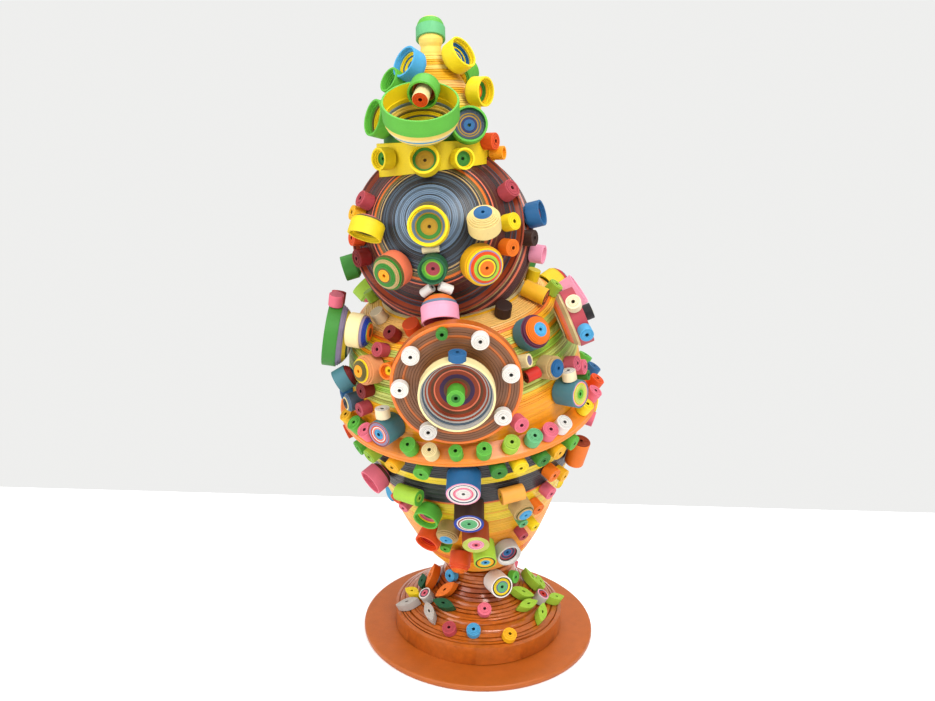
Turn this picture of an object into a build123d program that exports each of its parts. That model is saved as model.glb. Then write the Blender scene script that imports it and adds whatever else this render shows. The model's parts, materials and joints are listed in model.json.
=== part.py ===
from build123d import *
import math
import os

# Quilled paper sculpture: paper strips wound into coils, pushed out into domes and cups,
# and glued together. Millimetres, +Z up, the front faces -Y. The origin is the centre of
# the underside of the base disc.

# Paper strips and glue
strip = 5.0
wide_strip = strip * 2
usual = 0.68
small = 0.44
coil_r = strip * usual
small_r = strip * small
eye_r = 0.7
glue = 0.1
wall = 2.0
turn_wall = 0.8
rim_depth = 0.8
thin_floor = 1.2
turn_step = 0.35
flat_share = 0.64

# Base and foot
base_r = 57.0
base_t = 3.0
base_round = 1.0
foot_r = 41.5
foot_edge = 9.0
stem_r = 16.5
foot_h = 37.0
foot_turns = 2

# Bowl, ledge and body, which lean to the left and to the front
bowl_lean_left = 5.3
bowl_lean_front = 12.0
bowl_base_r = 15.0
bowl_rim_r = 53.0
bowl_h = 87.0
ledge_r = bowl_rim_r + 4.5
ledge_inner_r = bowl_rim_r - 7
ledge_t = 3.0
skirt_h = 5.0
body_lean_left = 9.5
body_lean_front = 12.0
body_r = bowl_rim_r - 1.5
shoulder_h = 49.3
collar_r = 30.5
body_below = 6.0

# Head ball
head_r = 36.5
head_wall = 2.2
head_turn_left = 9.0
head_turn_up = 18.5
seam_angle = 62.0
lip_out = 2.2
lip_t = 1.8

# Crown
crown_left = 2.4
crown_lean_left = 3.5
band_r = 23.5
band_h = 11.0
plate_r = 20.5
plate_t = 3.0
cone_r = 19.5
cone_tip_r = 6.2
cone_h = 29.5
neck_r = 4.3
neck_h = 3.6
ball_r = 4.8
finial_r = 5.8
finial_rise = 4.0
crown_bowl_r = 14.0
crown_bowl_rise = 9.5
crown_bowl_share = 0.45
back_rim_gap = 0.6
front_cup_r = 5.6
front_cup_rise = 3.0
front_cup_share = 0.6
front_roll_r = 3.1
front_roll_l = 7.0
finial_back = 24.0

# Medallion on the front of the body
medal_r = 25.2
medal_edge = 6.0
medal_share = 0.545
medal_dip = 14.0
ring_cup_r = 13.9
ring_cup_rise = 5.5
core_r = 3.4
core_l = 6.5

# Marquise petals of the two flowers on the foot
petal_l = 12.2
petal_w = 4.7
petal_t = 4.0
petal_gap = 1.7
flower_eye_r = 3.2

# Thickness of a cup's turned wall along its axis, and where what stands inside it begins
turn_t = strip - rim_depth
cup_floor = turn_t + glue

os.makedirs("parts", exist_ok=True)


def leaning(origin, left, front):
    """A plane whose normal leans from the vertical, in degrees to the left and to the front."""
    z_dir = Vector(-math.tan(math.radians(left)), -math.tan(math.radians(front)), 1).normalized()
    x_dir = (Vector(1, 0, 0) - z_dir * z_dir.X).normalized()
    return Plane(origin=origin, x_dir=x_dir, z_dir=z_dir)


def facing(origin, left, up):
    """A plane that looks to the front, turned in degrees to the left and up."""
    turn = math.radians(left)
    rise = math.radians(up)
    level = math.cos(rise)
    z_dir = Vector(-math.sin(turn) * level, -math.cos(turn) * level, math.sin(rise))
    x_dir = Vector(0, 0, 1).cross(z_dir).normalized()
    return Plane(origin=origin, x_dir=x_dir, z_dir=z_dir)


def along(plane, distance):
    """The same plane moved along its normal."""
    return Plane(origin=plane.origin + plane.z_dir * distance, x_dir=plane.x_dir, z_dir=plane.z_dir)


def side(plane):
    """The plane to draw a turned profile on: radius to the right, height along the axis."""
    return Plane(origin=plane.origin, x_dir=plane.x_dir, z_dir=-plane.y_dir)


def axis_of(plane):
    return Axis(plane.origin, plane.z_dir)


def signed_gap(outline, radius, height):
    """Distance from a point to a turned outline, negative inside the solid."""
    best = None
    for (r0, h0), (r1, h1) in zip(outline, outline[1:]):
        dr = r1 - r0
        dh = h1 - h0
        length = math.hypot(dr, dh)
        share = ((radius - r0) * dr + (height - h0) * dh) / length**2
        share = min(max(share, 0.0), 1.0)
        away_r = radius - r0 - share * dr
        away_h = height - h0 - share * dh
        gap = math.hypot(away_r, away_h)
        outside = (radius - r0) * dh - (height - h0) * dr
        if best is None or gap < abs(best) - 1e-9:
            best = math.copysign(gap, outside)
    return best


def length_of(outline):
    return sum(math.dist(a, b) for a, b in zip(outline, outline[1:]))


def spot(carrier, azimuth, share):
    """The tangent plane of a turned carrier. Azimuth 0 is its front (or its lowest side, where it
    faces forward), and share is how far along its outline. Local y points along the meridian."""
    plane, outline = carrier
    left = share * length_of(outline)
    for (r0, h0), (r1, h1) in zip(outline, outline[1:]):
        length = math.hypot(r1 - r0, h1 - h0)
        if left <= length:
            break
        left -= length
    step = min(left / length, 1.0)
    radius = r0 + step * (r1 - r0)
    height = h0 + step * (h1 - h0)
    angle = math.radians(azimuth)
    radial = plane.x_dir * math.sin(angle) - plane.y_dir * math.cos(angle)
    sideways = plane.x_dir * math.cos(angle) + plane.y_dir * math.sin(angle)
    normal = radial * ((h1 - h0) / length) - plane.z_dir * ((r1 - r0) / length)
    origin = plane.origin + radial * radius + plane.z_dir * height
    return Plane(origin=origin, x_dir=sideways, z_dir=normal)


def turned_points(outline):
    """Sample points on a turned piece, in its own frame."""
    angles = [math.radians(step) for step in range(0, 360, 20)]
    return [(r * math.cos(a), r * math.sin(a), h) for r, h in outline for a in angles]


def rest_on(carrier, plane, points, away):
    """Moves a piece's plane away from its carrier until its points only just clear it."""
    base, carrier_outline = carrier
    axes = (base.x_dir, base.y_dir, base.z_dir)
    x_part = [plane.x_dir.dot(a) for a in axes]
    y_part = [plane.y_dir.dot(a) for a in axes]
    z_part = [plane.z_dir.dot(a) for a in axes]
    origin = plane.origin
    for _ in range(40):
        start = [(origin - base.origin).dot(a) for a in axes]
        gaps = []
        for x, y, z in points:
            u, v, w = (start[k] + x * x_part[k] + y * y_part[k] + z * z_part[k] for k in range(3))
            gaps.append(signed_gap(carrier_outline, math.hypot(u, v), w))
        short = glue - min(gaps)
        if short < 0.01:
            break
        origin = origin + away * short
    return Plane(origin=origin, x_dir=plane.x_dir, z_dir=plane.z_dir)


def seat(carrier, azimuth, share, points, tilt=0, turn=0):
    """The plane of a glued piece. Its axis leans by tilt degrees from the carrier's normal,
    towards turn: 0 is along the meridian, 90 is sideways to growing azimuth."""
    place = spot(carrier, azimuth, share)
    lean = math.radians(tilt)
    way = math.radians(turn)
    toward = place.y_dir * math.cos(way) + place.x_dir * math.sin(way)
    z_dir = place.z_dir * math.cos(lean) + toward * math.sin(lean)
    x_dir = place.x_dir * math.cos(way) - place.y_dir * math.sin(way)
    tilted = Plane(origin=place.origin, x_dir=x_dir, z_dir=z_dir)
    return rest_on(carrier, tilted, points, place.z_dir)


def stepped(outline, steps):
    """Cuts each stretch of an outline into turns, each set back by a small step from the next."""
    points = []
    for (r0, h0), (r1, h1) in zip(outline, outline[1:]):
        length = math.hypot(r1 - r0, h1 - h0)
        back_r = -(h1 - h0) / length * turn_step
        back_h = (r1 - r0) / length * turn_step
        for step in range(steps):
            start = step / steps
            end = (step + 0.85) / steps
            points.append((r0 + start * (r1 - r0), h0 + start * (h1 - h0)))
            points.append((r0 + end * (r1 - r0), h0 + end * (h1 - h0)))
            points.append((r0 + end * (r1 - r0) + back_r, h0 + end * (h1 - h0) + back_h))
    points.append(outline[-1])
    return points


def add_turned(plane, points, mode=Mode.ADD):
    """Turns a closed profile of radius and height points about the plane's normal."""
    with BuildSketch(side(plane)) as profile:
        with BuildLine():
            Polyline(*points, close=True)
        make_face()
    revolve(profile.sketch, axis=axis_of(plane), mode=mode)


def coil_at(plane, radius, width):
    """A tight coil: a disc of wound strip with the eye left by the winding tool."""
    with BuildSketch(plane) as disc:
        Circle(radius)
        Circle(eye_r, mode=Mode.SUBTRACT)
    extrude(disc.sketch, amount=width)


def coil(carrier, azimuth, share, size=usual, strips=1, tilt=0, turn=0):
    """A glued coil. The sizes of glued pieces are given in strip widths."""
    radius = strip * size
    width = strip * strips
    points = turned_points([(radius, 0), (radius, width)])
    coil_at(seat(carrier, azimuth, share, points, tilt, turn), radius, width)


def roll(carrier, azimuth, share, size, strips, turn):
    """A coil that lies on its side, with its middle over the given place."""
    radius = strip * size
    length = strip * strips
    points = turned_points([(radius, -length / 2), (radius, 0), (radius, length / 2)])
    middle = seat(carrier, azimuth, share, points, 90, turn)
    coil_at(along(middle, -length / 2), radius, length)


def dome_at(plane, radius, rise):
    """A coil pushed out into a dome, apex outward: every turn is one strip tall."""
    top_r = radius * 0.3
    mid_r = radius * 0.78
    with BuildSketch(side(plane)) as profile:
        with BuildLine():
            Line((radius, 0), (radius, strip))
            ThreePointArc((radius, strip), (mid_r, strip + rise * 0.62), (top_r, strip + rise))
            Line((top_r, strip + rise), (eye_r, strip + rise))
            Line((eye_r, strip + rise), (eye_r, rise))
            Line((eye_r, rise), (top_r, rise))
            ThreePointArc((top_r, rise), (mid_r - turn_wall / 2, rise * 0.62), (radius - turn_wall, 0))
            Line((radius - turn_wall, 0), (radius, 0))
        make_face()
    revolve(profile.sketch, axis=axis_of(plane))


def dome(carrier, azimuth, share, size, rise_size, tilt=0, turn=0):
    radius = strip * size
    rise = strip * rise_size
    points = turned_points([(radius, 0), (radius, strip), (radius * 0.3, strip + rise)])
    dome_at(seat(carrier, azimuth, share, points, tilt, turn), radius, rise)


def cup_at(plane, radius, rise, floor_share=0.3, floor_t=turn_t):
    """A coil pushed out into a cup, mouth outward: every turn is one strip tall."""
    floor_r = radius * floor_share
    mid_r = floor_r + (radius - floor_r) * 0.72
    in_r = radius - turn_wall
    with BuildSketch(side(plane)) as profile:
        with BuildLine():
            Line((eye_r, 0), (floor_r, 0))
            ThreePointArc((floor_r, 0), (mid_r, rise * 0.42), (radius, rise))
            Line((radius, rise), (radius, rise + strip))
            Line((radius, rise + strip), (in_r, rise + strip))
            Line((in_r, rise + strip), (in_r, rise + floor_t))
            ThreePointArc(
                (in_r, rise + floor_t),
                (mid_r - turn_wall / 2, rise * 0.42 + floor_t),
                (floor_r, floor_t),
            )
            Line((floor_r, floor_t), (eye_r, floor_t))
            Line((eye_r, floor_t), (eye_r, 0))
        make_face()
    revolve(profile.sketch, axis=axis_of(plane))


def cup_points(radius, rise, floor_share=0.3):
    spread = radius * (1 - floor_share)
    bulge = [(0, 0), (0.45, 0.12), (0.72, 0.4), (0.9, 0.66), (1, 0.96)]
    outline = [(radius - spread * (1 - share), rise * height) for share, height in bulge]
    return turned_points(outline + [(radius, rise + strip)])


def cup(carrier, azimuth, share, size, rise_size, tilt=0, turn=0):
    radius = strip * size
    rise = strip * rise_size
    cup_at(seat(carrier, azimuth, share, cup_points(radius, rise), tilt, turn), radius, rise)


def rim_of(plane, radius, height):
    """The outer wall of a cup or roll, as a carrier for what is glued on it."""
    return plane, [(radius, 0), (radius, height)]


def flower_petals(carrier, azimuth, share, directions):
    """Marquise coils that point away from the eye of a flower, in degrees from uphill."""
    reach = flower_eye_r + petal_l / 2 + petal_gap
    base = carrier[0]
    tips = [(petal_l / 2, 0), (-petal_l / 2, 0), (0, petal_w / 2), (0, -petal_w / 2)]
    tips += [(x * petal_l, y * petal_w) for x in (-0.3, 0.3) for y in (-0.33, 0.33)]
    points = [(x, y, z) for x, y in tips for z in (0, petal_t)]
    for direction in directions:
        way = math.radians(direction)
        level = share + reach * math.cos(way) / length_of(carrier[1])
        away = spot(carrier, azimuth, level).origin - base.origin
        swing = math.degrees(reach * math.sin(way) / away.cross(base.z_dir).length)
        place = spot(carrier, azimuth + swing, level)
        outward = place.y_dir * math.cos(way) + place.x_dir * math.sin(way)
        flat = Plane(origin=place.origin, x_dir=outward, z_dir=place.z_dir)
        plane = rest_on(carrier, flat, points, place.z_dir)
        with BuildSketch(plane) as leaf:
            with BuildLine():
                ThreePointArc((-petal_l / 2, 0), (0, petal_w / 2), (petal_l / 2, 0))
                ThreePointArc((petal_l / 2, 0), (0, -petal_w / 2), (-petal_l / 2, 0))
            make_face()
        extrude(leaf.sketch, amount=petal_t)


def save(piece, label):
    piece.part.label = label
    export_step(piece.part, f"parts/{label}.step")


# Frames of the carriers, each seated on the one below
foot_seat = Plane.XY.offset(base_t)
bowl_seat = leaning((0, 0, base_t + foot_h), bowl_lean_left, bowl_lean_front)
ledge_seat = along(bowl_seat, bowl_h)
body_cut = along(ledge_seat, ledge_t)
body_seat = leaning(body_cut.origin, body_lean_left, body_lean_front)
collar_in = collar_r - wall
head_up = math.sqrt((head_r + glue) ** 2 - collar_in**2)
ball_seat = along(body_seat, shoulder_h + head_up)
head_seat = facing(ball_seat.origin, head_turn_left, head_turn_up)
crown_axis = leaning(ball_seat.origin - Vector(crown_left, 0, 0), crown_lean_left, 0)
band_up = math.sqrt(head_r**2 - band_r**2)
band_seat = along(crown_axis, band_up)
plate_seat = along(band_seat, band_h)
cone_seat = along(plate_seat, plate_t)
neck_seat = along(cone_seat, cone_h)

# Outer outlines of the carriers, as radius and height in their own frames. Shapes are in shares
# of the way from the small end to the wide one and of the height.
foot_outline = [
    (foot_r, 0),
    (foot_r, foot_edge),
    (foot_r - 5.5, foot_edge + 3),
    (foot_r - 12.5, foot_edge + 7),
    (stem_r + 5.5, foot_h - 16),
    (stem_r + 1.5, foot_h - 10),
    (stem_r, foot_h),
    (stem_r, foot_h + 4),
]
bowl_shape = [(0, 0), (0.158, 0.046), (0.289, 0.126), (0.413, 0.23), (0.542, 0.368)]
bowl_shape += [(0.668, 0.529), (0.795, 0.701), (0.916, 0.874), (1, 1)]
bowl_outline = [(bowl_base_r + (bowl_rim_r - bowl_base_r) * r, bowl_h * h) for r, h in bowl_shape]
body_shape = [(1, 0), (0.986, 0.203), (0.943, 0.406), (0.871, 0.568), (0.762, 0.72)]
body_shape += [(0.605, 0.842), (0.381, 0.933), (0, 1)]
body_outline = [(collar_r + (body_r - collar_r) * r, shoulder_h * h) for r, h in body_shape]
ball_outline = [
    (head_r * math.sin(math.radians(180 - step)), head_r * math.cos(math.radians(180 - step)))
    for step in range(0, 181, 6)
]
cone_shape = [(1, 0), (0.774, 0.407), (0.534, 0.627), (0.353, 0.763), (0.233, 0.864), (0, 1)]
cone_outline = [(cone_tip_r + (cone_r - cone_tip_r) * r, cone_h * h) for r, h in cone_shape]
foot_top = (foot_seat, foot_outline)
bowl_side = (bowl_seat, bowl_outline)
body_side = (body_seat, body_outline)
head_ball = (head_seat, ball_outline)
band_side = (band_seat, [(band_r, 0), (band_r, band_h)])
cone_side = (cone_seat, cone_outline)
crown_outline = [(band_r, 0), (band_r, band_h), (plate_r, band_h)]
crown_outline += [(r, band_h + plate_t + h) for r, h in [(plate_r, 0)] + cone_outline]
crown_side = (band_seat, crown_outline)
skirt = (along(ledge_seat, ledge_t), [(ledge_r, 0), (body_r - wall / 2, skirt_h)])
skirt_share = 0.5 - 0.8 / length_of(skirt[1])
low_share = 0.3


def from_nose(degrees):
    """A share of the ball's outline, from an angle at its point that faces forward."""
    return 1 - degrees / 180


# Base disc and foot
with BuildPart() as base_disc:
    with BuildSketch(Plane.XY):
        Circle(base_r)
    extrude(amount=base_t)
    fillet(base_disc.edges().filter_by(GeomType.CIRCLE), base_round)
save(base_disc, "base_disc")

with BuildPart() as foot:
    add_turned(foot_seat, [(0, 0)] + stepped(foot_outline, foot_turns) + [(0, foot_h + 4)])
    split(bisect_by=bowl_seat, keep=Keep.BOTTOM)
save(foot, "foot")

# Bowl and the ledge on its rim
with BuildPart() as bowl:
    inner = [(max(r - wall, 0), max(h, wall)) for r, h in reversed(bowl_outline[1:])]
    add_turned(bowl_seat, [(0, 0)] + stepped(bowl_outline, 1) + inner + [(0, wall)])
save(bowl, "bowl")

# The room that the body takes above the ledge
with BuildPart() as body_room:
    room_r = body_r + glue
    add_turned(body_seat, [(0, -body_below), (room_r, -body_below), (room_r, skirt_h * 2), (0, skirt_h * 2)])
    split(bisect_by=body_cut, keep=Keep.TOP)

with BuildPart() as ledge:
    skirt_top = (body_r - wall / 2, ledge_t + skirt_h)
    add_turned(
        ledge_seat,
        [(ledge_inner_r, 0), (ledge_r - 0.6, 0), (ledge_r, 0.6), (ledge_r, ledge_t), skirt_top]
        + [(skirt_top[0], ledge_t), (ledge_inner_r, ledge_t)],
    )
    add(body_room.part, mode=Mode.SUBTRACT)
save(ledge, "ledge")

# Body shell, cut at its foot so that it stands flat on the ledge
with BuildPart() as body:
    outer = [(body_r, -body_below)] + stepped(body_outline, 1)
    inner = [(r - wall, h - wall * 0.4) for r, h in reversed(body_outline[1:-1])]
    add_turned(body_seat, outer + [(collar_in, shoulder_h)] + inner + [(body_r - wall, -body_below)])
    split(bisect_by=body_cut, keep=Keep.TOP)
save(body, "body")

# Head: a ball of two domes that meet at a lip
seam_r = head_r * math.sin(math.radians(seam_angle))
seam_h = head_r * math.cos(math.radians(seam_angle))


def head_arc(start, end, radius, step):
    angles = [start + (end - start) * n / step for n in range(step + 1)]
    return [(radius * math.sin(math.radians(a)), radius * math.cos(math.radians(a))) for a in angles]


with BuildPart() as head_front:
    outer = stepped(list(reversed(head_arc(0, seam_angle - 2, head_r, 6))), 1)
    inner = head_arc(0, seam_angle - 2, head_r - head_wall, 6)
    lip = [
        (seam_r - head_wall, seam_h),
        (seam_r + lip_out, seam_h),
        (seam_r + lip_out, seam_h + lip_t),
    ]
    add_turned(head_seat, lip + outer + inner)
save(head_front, "head_front")

with BuildPart() as head_back:
    back = seam_h - glue
    outer = [(seam_r, back)] + head_arc(seam_angle + 6, 180, head_r, 12)
    inner = list(reversed(head_arc(seam_angle + 6, 180, head_r - head_wall, 12))) + [(seam_r - head_wall, back)]
    add_turned(head_seat, outer + inner)
save(head_back, "head_back")

# Crown band, trimmed below to the ball, with the stepped plate and the cone on it
with BuildPart() as crown_band:
    band_low = -4.0
    add_turned(
        band_seat,
        [
            (band_r - 1.5, band_low),
            (band_r, band_low),
            (band_r, band_h),
            (0, band_h),
            (0, band_h - wall),
            (band_r - 1.5, band_h - wall),
        ],
    )
    with Locations(ball_seat.origin):
        Sphere(radius=head_r + glue, mode=Mode.SUBTRACT)
    lip_edge = seam_r + lip_out + glue
    lip_low = seam_h - glue
    lip_high = seam_h + lip_t + glue
    notch = [(seam_r - lip_out, lip_low), (lip_edge, lip_low), (lip_edge, lip_high), (seam_r - lip_out, lip_high)]
    add_turned(head_seat, notch, mode=Mode.SUBTRACT)
save(crown_band, "crown_band")

with BuildPart() as crown_plate:
    with BuildSketch(plate_seat):
        Circle(plate_r)
    extrude(amount=plate_t)
save(crown_plate, "crown_plate")

with BuildPart() as cone:
    inner = [(r - wall, h) for r, h in reversed(cone_outline[:-1])]
    add_turned(cone_seat, stepped(cone_outline, 1) + [(0, cone_h), (0, cone_h - wall)] + inner)
save(cone, "cone")

with BuildPart() as neck:
    add_turned(
        neck_seat,
        [(0, 0), (neck_r, 0), (neck_r, neck_h)]
        + [
            (ball_r * math.cos(math.radians(a)), neck_h + 2.6 + ball_r * math.sin(math.radians(a)))
            for a in range(-15, 90, 15)
        ]
        + [(0, neck_h + 2.6 + ball_r)],
    )
save(neck, "neck")

# Finial cap, which leans back on the ball of the neck
cap_centre = along(neck_seat, neck_h + 2.6)
cap_lean = math.radians(finial_back)
cap_up = cap_centre.z_dir * math.cos(cap_lean) + cap_centre.y_dir * math.sin(cap_lean)
cap_seat = Plane(origin=cap_centre.origin, x_dir=cap_centre.x_dir, z_dir=cap_up)
with BuildPart() as finial_cap:
    cap_inner = ball_r + glue
    add_turned(
        cap_seat,
        [(cap_inner, 0), (finial_r, 0), (finial_r, strip), (finial_r * 0.8, strip + finial_rise * 0.65)]
        + [(finial_r * 0.3, strip + finial_rise), (0, strip + finial_rise)]
        + [
            (cap_inner * math.cos(math.radians(a)), cap_inner * math.sin(math.radians(a)))
            for a in range(90, 0, -15)
        ],
    )
save(finial_cap, "finial_cap")

# Medallion: a flat coil on the front of the body, with a ring cup and a core roll
medal_points = turned_points([(medal_r * tenth / 10, 0) for tenth in range(11)])
medal_seat = seat(body_side, 0.5, medal_share, medal_points, -medal_dip, 0)
with BuildPart() as medallion:
    add_turned(
        medal_seat,
        [(eye_r, 0), (medal_r, 0), (medal_r, strip), (medal_r - medal_edge, strip)]
        + [(medal_r - medal_edge, strip - turn_step), (ring_cup_r + 2, strip - turn_step)]
        + [(ring_cup_r + 2, strip), (eye_r, strip)],
    )
save(medallion, "medallion")

medal_face = along(medal_seat, strip + glue)
with BuildPart() as ring_cup:
    cup_at(medal_face, ring_cup_r, ring_cup_rise, 0.45)
save(ring_cup, "ring_cup")

with BuildPart() as core_roll:
    coil_at(along(medal_face, cup_floor), core_r, core_l)
save(core_roll, "core_roll")


def on_medal(angle, distance, radius):
    """A coil on the medallion's face, at an angle clockwise from its top."""
    way = math.radians(angle)
    out = medal_face.y_dir * math.cos(way) + medal_face.x_dir * math.sin(way)
    place = medal_face.origin + out * distance
    coil_at(Plane(origin=place, x_dir=medal_face.x_dir, z_dir=medal_face.z_dir), radius, strip * flat_share)


with BuildPart() as medal_coils:
    for angle in (-44.5, 32.5, 81.5, 131.5, 218.5, 276.5):
        on_medal(angle, medal_r - coil_r - 0.6, coil_r)
    on_medal(-5.5, medal_r - small_r - 0.6, small_r)
save(medal_coils, "medal_coils")

ring_rim = rim_of(medal_face, ring_cup_r, ring_cup_rise + strip)
with BuildPart() as ring_coil:
    coil(ring_rim, 170, (ring_cup_rise + strip / 2) / (ring_cup_rise + strip), strips=flat_share)
save(ring_coil, "ring_coil")

# Head ornaments
with BuildPart() as head_centre_cup:
    cup(head_ball, 19, from_nose(6.59), 1.46, 0.7)
save(head_centre_cup, "head_centre_cup")

with BuildPart() as head_small_cup:
    cup(head_ball, 10, from_nose(28.57), 1.08, 0.4)
save(head_small_cup, "head_small_cup")

with BuildPart() as head_bell:
    cup(head_ball, 9.5, from_nose(47.09), 1.42, 1.12, tilt=36, turn=180)
save(head_bell, "head_bell")

with BuildPart() as head_side_domes:
    dome(head_ball, -33, from_nose(36.42), 1.42, 0.8)
    dome(head_ball, 53, from_nose(40.97), 1.54, 0.7)
save(head_side_domes, "head_side_domes")

with BuildPart() as head_bells:
    dome(head_ball, 82, from_nose(31.87), 1.24, 0.72, tilt=49, turn=44)
    cup(head_ball, -88, from_nose(31.55), 1.32, 0.6, tilt=78, turn=97)
save(head_bells, "head_bells")

with BuildPart() as head_cups:
    cup(head_ball, 103, from_nose(72.21), 1.04, 0.4)
    cup(head_ball, 82, from_nose(83.2), 0.76, 0.2)
    cup(head_ball, -68, from_nose(80.84), 1.04, 0.4)
    cup(head_ball, 128, from_nose(135), 1.12, 0.5)
    cup(head_ball, -128, from_nose(135), 1.16, 0.5)
    cup(head_ball, 176, from_nose(150.7), 1.12, 0.5)
save(head_cups, "head_cups")

# Crown ornaments: a bowl that leans out at the front, with a cup and a roll inside its back rim
crown_bowl_points = cup_points(crown_bowl_r, crown_bowl_rise, crown_bowl_share)
crown_bowl_seat = seat(crown_side, -8.3, 0.323, crown_bowl_points, 58, 6)
with BuildPart() as crown_bowl:
    cup_at(crown_bowl_seat, crown_bowl_r, crown_bowl_rise, crown_bowl_share, thin_floor)
save(crown_bowl, "crown_bowl")

with BuildPart() as target_cup:
    cup(crown_side, 36.5, 0.37, 1.34, 0.3, tilt=29, turn=-90)
save(target_cup, "target_cup")

back_rim = crown_bowl_seat.y_dir * (crown_bowl_r - turn_wall - back_rim_gap)
rim_height = crown_bowl_seat.z_dir * (crown_bowl_rise + strip - back_rim_gap)
front_cup_seat = Plane(
    origin=crown_bowl_seat.origin + back_rim + rim_height,
    x_dir=crown_bowl_seat.x_dir,
    z_dir=-crown_bowl_seat.y_dir,
)
with BuildPart() as crown_front_cup:
    cup_at(front_cup_seat, front_cup_r, front_cup_rise, front_cup_share)
save(crown_front_cup, "crown_front_cup")

with BuildPart() as crown_front_roll:
    coil_at(along(front_cup_seat, cup_floor), front_roll_r, front_roll_l)
save(crown_front_roll, "crown_front_roll")

with BuildPart() as crown_cups:
    cup(cone_side, -58, 0.153, 1.36, 0.8)
    cup(cone_side, -22, 0.757, 1.26, 0.6, tilt=25, turn=-90)
    cup(cone_side, 54, 0.861, 1.22, 0.6, tilt=10, turn=180)
    cup(cone_side, 62, 0.47, 1.12, 0.6, tilt=30, turn=195)
    cup(cone_side, -52, 0.56, 1, 0.5)
    cup(cone_side, 150, 0.275, 1.36, 0.8)
    cup(cone_side, -150, 0.611, 1.24, 0.7)
    cup(cone_side, 122, 0.733, 1.12, 0.5)
save(crown_cups, "crown_cups")

with BuildPart() as band_cups:
    cup(band_side, -44, 0.491, 0.84, 0.3)
    cup(band_side, -5.6, 0.31, 1.12, 0.4, tilt=17, turn=0)
    cup(band_side, 24, 0.4, 0.82, 0.3)
    cup(band_side, 68, 0.53, 0.54, 0.2)
    for azimuth in (132, 168, -156, -124):
        cup(band_side, azimuth, 0.491, 0.84, 0.3)
save(band_cups, "band_cups")

# Body ornaments
left_cup_r = 13.2
right_cup_r = 11.8
side_cup_rise = 5.5
side_core_r = 3.3
left_cup_seat = seat(body_side, -71, 0.689, cup_points(left_cup_r, side_cup_rise), 20, -122)
right_cup_seat = seat(body_side, 60, 0.65, cup_points(right_cup_r, side_cup_rise), 36, 105)
with BuildPart() as left_side_cup:
    cup_at(left_cup_seat, left_cup_r, side_cup_rise)
save(left_side_cup, "left_side_cup")

with BuildPart() as right_side_cup:
    cup_at(right_cup_seat, right_cup_r, side_cup_rise)
save(right_side_cup, "right_side_cup")

left_rim = rim_of(left_cup_seat, left_cup_r, side_cup_rise + strip)
right_rim = rim_of(right_cup_seat, right_cup_r, side_cup_rise + strip)
rim_share = (side_cup_rise + strip / 2) / (side_cup_rise + strip)
with BuildPart() as side_cup_cores:
    coil_at(along(right_cup_seat, cup_floor), side_core_r, wide_strip)
    coil_at(along(left_cup_seat, cup_floor), side_core_r, core_l)
save(side_cup_cores, "side_cup_cores")

with BuildPart() as body_domes:
    dome(body_side, 41, 0.71, 1.28, 0.9)
    dome(body_side, 44, 0.448, 0.96, 0.6)
    dome(body_side, -43.5, 0.582, 1.2, 0.8)
    dome(body_side, -58, 0.283, 0.76, 0.4)
    dome(body_side, 118, 0.62, 1.48, 0.9)
    dome(body_side, 160, 0.482, 1.36, 0.8)
    dome(body_side, -150, 0.655, 1.44, 0.9)
    dome(body_side, -118, 0.414, 1.32, 0.8)
save(body_domes, "body_domes")

with BuildPart() as body_cups:
    cup(body_side, -49, 0.793, 1.36, 0.7, tilt=56, turn=-110)
    cup(body_side, -30.5, 0.612, 0.68, 0.2)
    cup(body_side, -60, 0.482, 1, 0.6, tilt=36, turn=-150)
    cup(body_side, 29.3, 0.565, 0.54, 0.16, tilt=36, turn=90)
    cup(body_side, 93, 0.655, 1.4, 0.8)
    cup(body_side, 139, 0.741, 1.32, 0.7)
    cup(body_side, 178, 0.758, 1.4, 0.7)
    cup(body_side, -120, 0.758, 1.32, 0.7)
    cup(body_side, -172, 0.345, 1.24, 0.7)
    cup(body_side, 134, 0.345, 1.24, 0.6)
save(body_cups, "body_cups")

with BuildPart() as ledge_rolls:
    for azimuth, share, size in ((-33, 0.205, 1.12), (51, 0.215, 1.16)):
        radius = strip * size
        points = turned_points([(radius, 0), (radius, wide_strip)])
        roll_seat = seat(body_side, azimuth, share, points)
        coil_at(roll_seat, radius, wide_strip)
        roll_wall = rim_of(roll_seat, radius, wide_strip)
        coil(roll_wall, 180, 0.6, 0.6, 0.8)
save(ledge_rolls, "ledge_rolls")

# Bowl ornaments
with BuildPart() as bowl_rolls:
    coil(bowl_side, -2.1, 0.919, 1.4, 2)
    coil(bowl_side, -1.3, 0.718, 1.26, 2)
    coil(bowl_side, 0.8, 0.559, 1.18, 2)
    coil(bowl_side, 5, 0.411, 1, 2)
save(bowl_rolls, "bowl_rolls")

with BuildPart() as lying_rolls:
    roll(bowl_side, -31.3, 0.78, 0.74, 2.2, 90)
    roll(bowl_side, 19.5, 0.791, 0.7, 2, 90)
    roll(bowl_side, 60.5, 0.849, 0.84, 2.4, 0)
    roll(body_side, 64.5, 0.887, 0.72, 2, 0)
    roll(body_side, 34.2, 0.458, 0.5, 1.26, 90)
    roll(head_ball, 9.4, from_nose(18.68), 0.26, 1.28, 90)
    roll(head_ball, 0.8, from_nose(42.7), 0.38, 1.04, 50)
    roll(head_ball, 16.5, from_nose(42.38), 0.38, 1.04, -50)
save(lying_rolls, "lying_rolls")

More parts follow.
